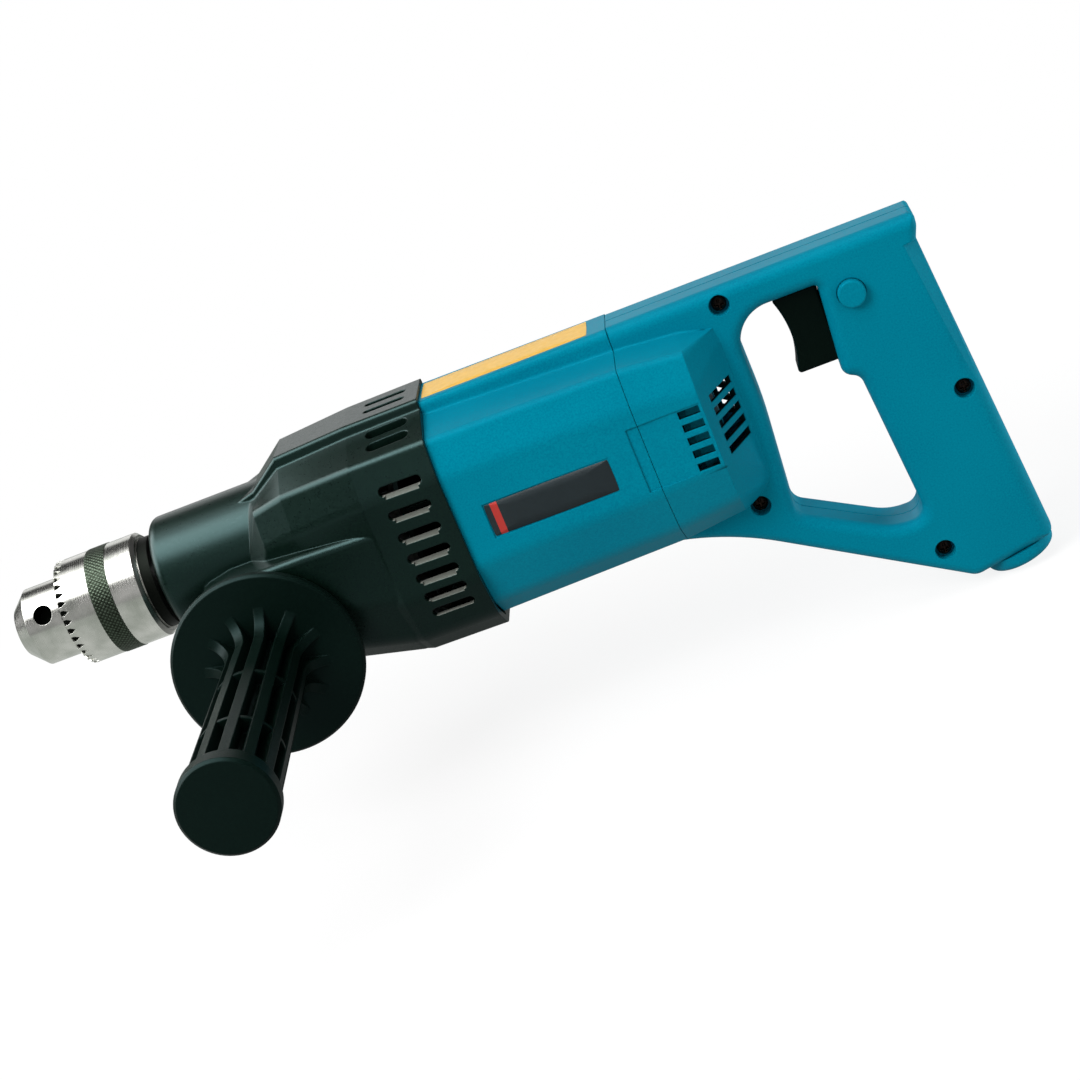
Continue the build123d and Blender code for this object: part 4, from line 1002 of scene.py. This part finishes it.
@dataclass
class Handle:
    """The two handle halves with their screws, controls and cord outlet."""

    head_height: float = 2.9
    arm_length: float = 2.0
    arm_half_width: float = 0.55
    arm_side_slope: float = 0.44
    arm_end_slope: float = 0.5
    recess_depth: float = 1.7
    recess_taper: float = 0.35
    dome_share: float = 0.38
    rim_share: float = 0.5
    head_rings: int = 34
    head_points: int = 96
    screw_spacing: float = 5.0

    def screw_boxes(self, screws: Piece) -> list[np.ndarray]:
        """The box of each screw of the one node that holds them all, front to back.

        The corner points are sorted along X and split wherever the step to the next one is wider
        than any gap inside a screw.

        Args:
            screws: The CAD node of the handle's screws.

        Returns:
            Arrays (2, 3): the lowest and highest corner of each screw in millimetres.
        """
        points = np.empty(len(screws.data.vertices) * 3)
        screws.data.vertices.foreach_get("co", points)
        points = points.reshape(-1, 3) / MM
        points = points[np.argsort(points[:, 0])]
        cuts = np.flatnonzero(np.diff(points[:, 0]) > self.screw_spacing) + 1
        return [np.stack([part.min(axis=0), part.max(axis=0)]) for part in np.split(points, cuts)]

    def screw_head(self, box: np.ndarray) -> np.ndarray:
        """A domed head with a cross recess, as rings from its rim to its middle.

        The dome falls with the square of the radius. The recess is a smooth step of the distance
        to the nearer arm of the cross, faded out at the arm's end.

        Args:
            box: The screw's lowest and highest corner in millimetres.

        Returns:
            Array (rings, points, 3) in millimetres.
        """
        middle = box.mean(axis=0)
        radius = (box[1, 0] - box[0, 0]) / 2
        angle = np.linspace(0, 2 * np.pi, self.head_points, endpoint=False)
        ring = np.concatenate([[1.0, 1.0], np.linspace(1.0, 0.0, self.head_rings)])
        share, turn = np.meshgrid(ring, angle, indexing="ij")
        u, v = radius * share * np.cos(turn), radius * share * np.sin(turn)
        across = np.minimum(np.abs(u), np.abs(v))
        reach = np.maximum(np.abs(u), np.abs(v))
        side, tip = self.arm_side_slope, self.arm_end_slope
        wall = np.clip((self.arm_half_width + side / 2 - across) / side, 0, 1)
        end = np.clip((self.arm_length + tip / 2 - reach) / tip, 0, 1)
        floor = self.recess_depth * (1 - self.recess_taper * reach / self.arm_length)
        recess = floor * wall**2 * (3 - 2 * wall) * end
        height = self.head_height * (1 - self.dome_share * share**2) - recess
        height[0] = 0.0
        height[1] = self.head_height * self.rim_share
        seat = box[0, 1] + self.head_height
        return np.stack([middle[0] - u, seat - height, middle[2] + v], axis=-1)

    def screws(self, node: Piece) -> list[Piece]:
        """The screw heads, each a piece of its own.

        Args:
            node: The CAD node of the handle's screws.

        Returns:
            The heads.
        """
        return [
            grid_object(f"handle_screw_head_{k}", self.screw_head(box) * MM)
            for k, box in enumerate(self.screw_boxes(node), 1)
        ]

    def build(self, nodes: dict[str, Piece]) -> None:
        """Dresses the handle, its controls and the cord outlet, and adds the screw heads.

        Args:
            nodes: The frame's nodes by name.
        """
        dress(nodes, ("handle_left", "handle_right"), TEAL_VENTED_ABS)
        dress(nodes, ("lock_button", "cord_bush"), TEAL_ABS)
        dress(nodes, ("trigger", "trigger_plunger", "switch_body"), BLACK_CONTROL)
        dress(nodes, ("handle_screws",), SCREW_STEEL)
        for head in self.screws(nodes["handle_screws"]):
            add_piece(head, "housing", SCREW_STEEL)
            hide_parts("handle_screws")


@dataclass
class SideGrip:
    """The fluted side grip with its guard disc, and the stud it is moulded round."""

    def build(self, nodes: dict[str, Piece]) -> None:
        """Dresses the grip and its stud.

        Args:
            nodes: The frame's nodes by name.
        """
        dress(nodes, ("side_grip",), BLACK_GRIP)
        dress(nodes, ("grip_stud",), GROUND_STEEL)


@dataclass
class InnerWorks:
    """Gears, shafts, bearings and motor, as seen through the vents and when taken apart."""

    steel: tuple[str, ...] = (
        "spindle",
        "spindle_gear",
        "intermediate_shaft",
        "intermediate_wheel",
        "armature_shaft",
    )
    bearings: tuple[str, ...] = (
        "spindle",
        "shaft_front",
        "shaft_rear",
        "motor_front",
        "motor_rear",
    )

    def build(self, nodes: dict[str, Piece]) -> None:
        """Dresses every inner node.

        Args:
            nodes: The frame's nodes by name.
        """
        dress(nodes, self.steel, GROUND_STEEL)
        for bearing in self.bearings:
            rings = (f"{bearing}_bearing_outer", f"{bearing}_bearing_inner")
            dress(nodes, rings, GROUND_STEEL)
        dress(nodes, ("plate_screws", "housing_screws"), SCREW_STEEL)
        dress(nodes, ("bearing_plate",), CAST_ALUMINIUM)
        dress(nodes, ("spindle_rear_bush", "brush_holders"), SINTERED_BRONZE)
        dress(nodes, ("spindle_seal",), BLACK_RUBBER)
        dress(nodes, ("armature_core", "field_core"), LAMINATED_STEEL)
        dress(nodes, ("armature_winding", "field_coils", "commutator"), ENAMELLED_COPPER)
        dress(nodes, ("carbon_brushes",), PRESSED_CARBON)
        dress(nodes, ("cooling_fan", "air_baffle"), BLACK_CONTROL)


@dataclass(frozen=True)
class Softbox:
    """A square soft lamp: its place and width in millimetres, and its power in watts."""

    place: tuple[float, float, float]
    size: float
    power: float


@dataclass(frozen=True)
class Lobe:
    """A bright part of the surroundings: its direction, how far it reaches and how bright it is.

    The reach is two cosines of the angle from the middle, between which the brightness rises, and
    the level is the brightness outside and inside.
    """

    middle: tuple[float, float, float]
    reach: tuple[float, float]
    level: tuple[float, float]


@dataclass
class Studio:
    """Camera, soft lamps, pale floor and white surroundings. Lengths are in millimetres."""

    azimuth: float = 8.31
    elevation: float = 18.1
    roll: float = 23.02
    lens: float = 87.63
    distance: float = 1107.6
    target: tuple[float, float, float] = (220.1, 0.0, -42.1)
    sensor_width: float = 36.0
    sight_end: float = 50000.0
    floor_gap: float = 0.5
    floor_reach: float = 30000.0
    floor_bounce: float = 0.5
    floor_mirror: tuple[float, float] = (0.5, 0.12)
    mirror_end: tuple[float, float] = (40.0, 75.0)
    floor_fade: tuple[float, float] = (300.0, 750.0)
    floor_glow: float = 0.86
    paper: str = "f6f6f6"
    white: str = "ffffff"
    bounce_tint: str = "f6fcf6"
    ambient: float = 0.36
    lamps: dict[str, Softbox] = field(
        default_factory=lambda: {
            "key_softbox": Softbox((-420.0, -930.0, 880.0), 700.0, 14.5),
            "top_softbox": Softbox((150.0, -250.0, 1150.0), 700.0, 5.0),
            "fill_softbox": Softbox((1500.0, -500.0, 50.0), 900.0, 5.6),
            "rim_softbox": Softbox((1350.0, 560.0, 60.0), 500.0, 13.0),
        }
    )
    above: Lobe = Lobe((-0.14, -0.32, 0.94), (0.905, 0.97), (0.0, 6.2))
    aside: Lobe = Lobe((-0.75, 0.05, 0.66), (0.78, 0.94), (0.0, 5.0))
    ahead: Lobe = Lobe((0.14, -0.93, 0.31), (0.75, 0.96), (0.06, 0.55))
    behind: Lobe = Lobe((-0.13, 0.96, 0.26), (0.94, 0.985), (0.0, 0.95))

    def place_camera(self) -> None:
        """Aims the camera from an azimuth and elevation, rolled about its own line of sight."""
        turn, lift, roll = np.radians([self.azimuth, self.elevation, self.roll])
        back = np.array([np.sin(turn) * np.cos(lift), -np.cos(turn) * np.cos(lift), np.sin(lift)])
        right = np.array([np.cos(turn), np.sin(turn), 0.0])
        up = np.cross(back, right)
        rolled_right = np.cos(roll) * right - np.sin(roll) * up
        rolled_up = np.sin(roll) * right + np.cos(roll) * up
        axes = np.stack([rolled_right, rolled_up, back], axis=1)
        place = (np.array(self.target) + back * self.distance) * MM
        data = bpy.data.cameras.new("photo_camera")
        data.lens = self.lens
        data.sensor_width = self.sensor_width
        data.clip_end = self.sight_end * MM
        camera = bpy.data.objects.new("photo_camera", data)
        camera.matrix_world = Matrix(
            [[*row, offset] for row, offset in zip(axes, place)] + [[0.0, 0.0, 0.0, 1.0]]
        )
        bpy.context.scene.collection.objects.link(camera)
        bpy.context.scene.camera = camera

    def light(self) -> None:
        """Hangs the soft lamps; reflections show the bright parts of the surroundings instead."""
        aim = Vector(self.target) * MM
        for name, softbox in self.lamps.items():
            data = bpy.data.lights.new(name, "AREA")
            data.size = softbox.size * MM
            data.energy = softbox.power
            lamp = bpy.data.objects.new(name, data)
            lamp.location = Vector(softbox.place) * MM
            lamp.rotation_euler = (lamp.location - aim).to_track_quat("Z", "Y").to_euler()
            lamp.visible_glossy = False
            bpy.context.scene.collection.objects.link(lamp)

    def glow(
        self, tree: Tree, toward: Socket, lobe: Lobe
    ) -> Socket:
        """Brightness of the surroundings that rises towards the middle of a lobe.

        Args:
            tree: The world's node tree.
            toward: The direction that is looked in.
            lobe: The bright part.

        Returns:
            The brightness.
        """
        match = add_node(
            tree, "ShaderNodeVectorMath", {0: toward, 1: lobe.middle}, operation="DOT_PRODUCT"
        )
        rise = add_node(
            tree,
            "ShaderNodeMapRange",
            {
                "Value": match.outputs["Value"],
                "From Min": lobe.reach[0],
                "From Max": lobe.reach[1],
                "To Min": lobe.level[0],
                "To Max": lobe.level[1],
            },
            interpolation_type="SMOOTHSTEP",
        )
        return rise.outputs[0]

    def surround(self) -> None:
        """A world that is white to the camera and shows the lobes in reflections."""
        world = bpy.data.worlds.new("white_studio")
        bpy.context.scene.world = world
        world.use_nodes = True
        tree = world.node_tree
        tree.nodes.clear()
        place = add_node(tree, "ShaderNodeTexCoord")
        toward = place.outputs["Generated"]
        mirrored = self.glow(tree, toward, self.above)
        for lobe in (self.aside, self.ahead, self.behind):
            more = self.glow(tree, toward, lobe)
            total = add_node(tree, "ShaderNodeMath", {0: mirrored, 1: more}, operation="ADD")
            mirrored = total.outputs[0]
        path = add_node(tree, "ShaderNodeLightPath")
        shiny = add_node(
            tree,
            "ShaderNodeMix",
            {0: path.outputs["Is Glossy Ray"], 2: self.ambient, 3: mirrored},
            data_type="FLOAT",
        )
        clear = add_node(
            tree,
            "ShaderNodeMath",
            {0: path.outputs["Is Camera Ray"], 1: path.outputs["Is Transmission Ray"]},
            operation="MAXIMUM",
        )
        strength = add_node(
            tree,
            "ShaderNodeMix",
            {0: clear.outputs[0], 2: shiny.outputs[0], 3: 1.0},
            data_type="FLOAT",
        )
        back = add_node(
            tree,
            "ShaderNodeBackground",
            {"Color": linear(self.white), "Strength": strength.outputs[0]},
        )
        add_node(tree, "ShaderNodeOutputWorld", {"Surface": back.outputs[0]})

    def floor(self, lowest: float) -> None:
        """A pale floor that keeps a soft shadow and turns as white as the surroundings further off.

        Args:
            lowest: Height of the tool's lowest point in metres.
        """
        side = np.array([-self.floor_reach, self.floor_reach]) * MM
        x, y = np.meshgrid(side, side)
        points = np.stack([x, y, np.full_like(x, lowest - self.floor_gap * MM)], axis=-1)
        plane = grid_object("floor", points, closed_around=False)
        material = bpy.data.materials.new("floor_pale_paper")
        material.use_nodes = True
        tree = material.node_tree
        tree.nodes.clear()
        paper = add_node(
            tree, "ShaderNodeBsdfDiffuse", {"Color": linear(self.paper), "Roughness": 1.0}
        )
        path = add_node(tree, "ShaderNodeLightPath")
        place = add_node(tree, "ShaderNodeTexCoord")
        parts = add_node(tree, "ShaderNodeSeparateXYZ", {0: place.outputs["Object"]})
        mirror = add_node(
            tree,
            "ShaderNodeMapRange",
            {
                "Value": parts.outputs[0],
                "From Min": self.mirror_end[0] * MM,
                "From Max": self.mirror_end[1] * MM,
                "To Min": self.floor_mirror[0],
                "To Max": self.floor_mirror[1],
            },
            interpolation_type="SMOOTHSTEP",
        )
        lit = add_node(
            tree,
            "ShaderNodeMix",
            {0: path.outputs["Is Glossy Ray"], 2: self.floor_bounce, 3: mirror.outputs[0]},
            data_type="FLOAT",
        )
        level = add_node(
            tree,
            "ShaderNodeMix",
            {0: path.outputs["Is Camera Ray"], 2: lit.outputs[0], 3: 1.0},
            data_type="FLOAT",
        )
        tone = add_node(
            tree,
            "ShaderNodeMix",
            {0: path.outputs["Is Camera Ray"], 6: linear(self.bounce_tint), 7: linear(self.white)},
            data_type="RGBA",
        )
        shine = add_node(
            tree,
            "ShaderNodeEmission",
            {"Color": tone.outputs[2], "Strength": level.outputs[0]},
        )
        away = add_node(
            tree,
            "ShaderNodeVectorMath",
            {0: place.outputs["Object"], 1: tuple(Vector(self.target) * MM)},
            operation="DISTANCE",
        )
        share = add_node(
            tree,
            "ShaderNodeMapRange",
            {
                "Value": away.outputs["Value"],
                "From Min": self.floor_fade[0] * MM,
                "From Max": self.floor_fade[1] * MM,
                "To Min": self.floor_glow,
                "To Max": 1.0,
            },
            interpolation_type="SMOOTHSTEP",
        )
        blend = add_node(
            tree,
            "ShaderNodeMixShader",
            {0: share.outputs[0], 1: paper.outputs[0], 2: shine.outputs[0]},
        )
        add_node(tree, "ShaderNodeOutputMaterial", {"Surface": blend.outputs[0]})
        plane.data.materials.append(material)
        plane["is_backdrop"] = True

    def build(self, lowest: float) -> None:
        """Sets up the whole studio.

        Args:
            lowest: Height of the tool's lowest point in metres.
        """
        self.place_camera()
        self.light()
        self.surround()
        self.floor(lowest)
        bpy.context.scene.view_settings.view_transform = "Standard"


def main() -> None:
    """Dresses the drill and sets the studio, with its floor under the CAD box."""
    logging.basicConfig(level=logging.INFO, format="%(name)s %(message)s")
    cad_box = [list(corner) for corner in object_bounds()]
    nodes = frame["nodes"]
    for assembly in (Chuck(), Housings(), Handle(), SideGrip(), InnerWorks()):
        LOG.info("building %s", type(assembly).__name__)
        assembly.build(nodes)
    Studio().build(cad_box[0][2])
    bpy.context.view_layer.update()


if __name__ == "__main__":
    main()
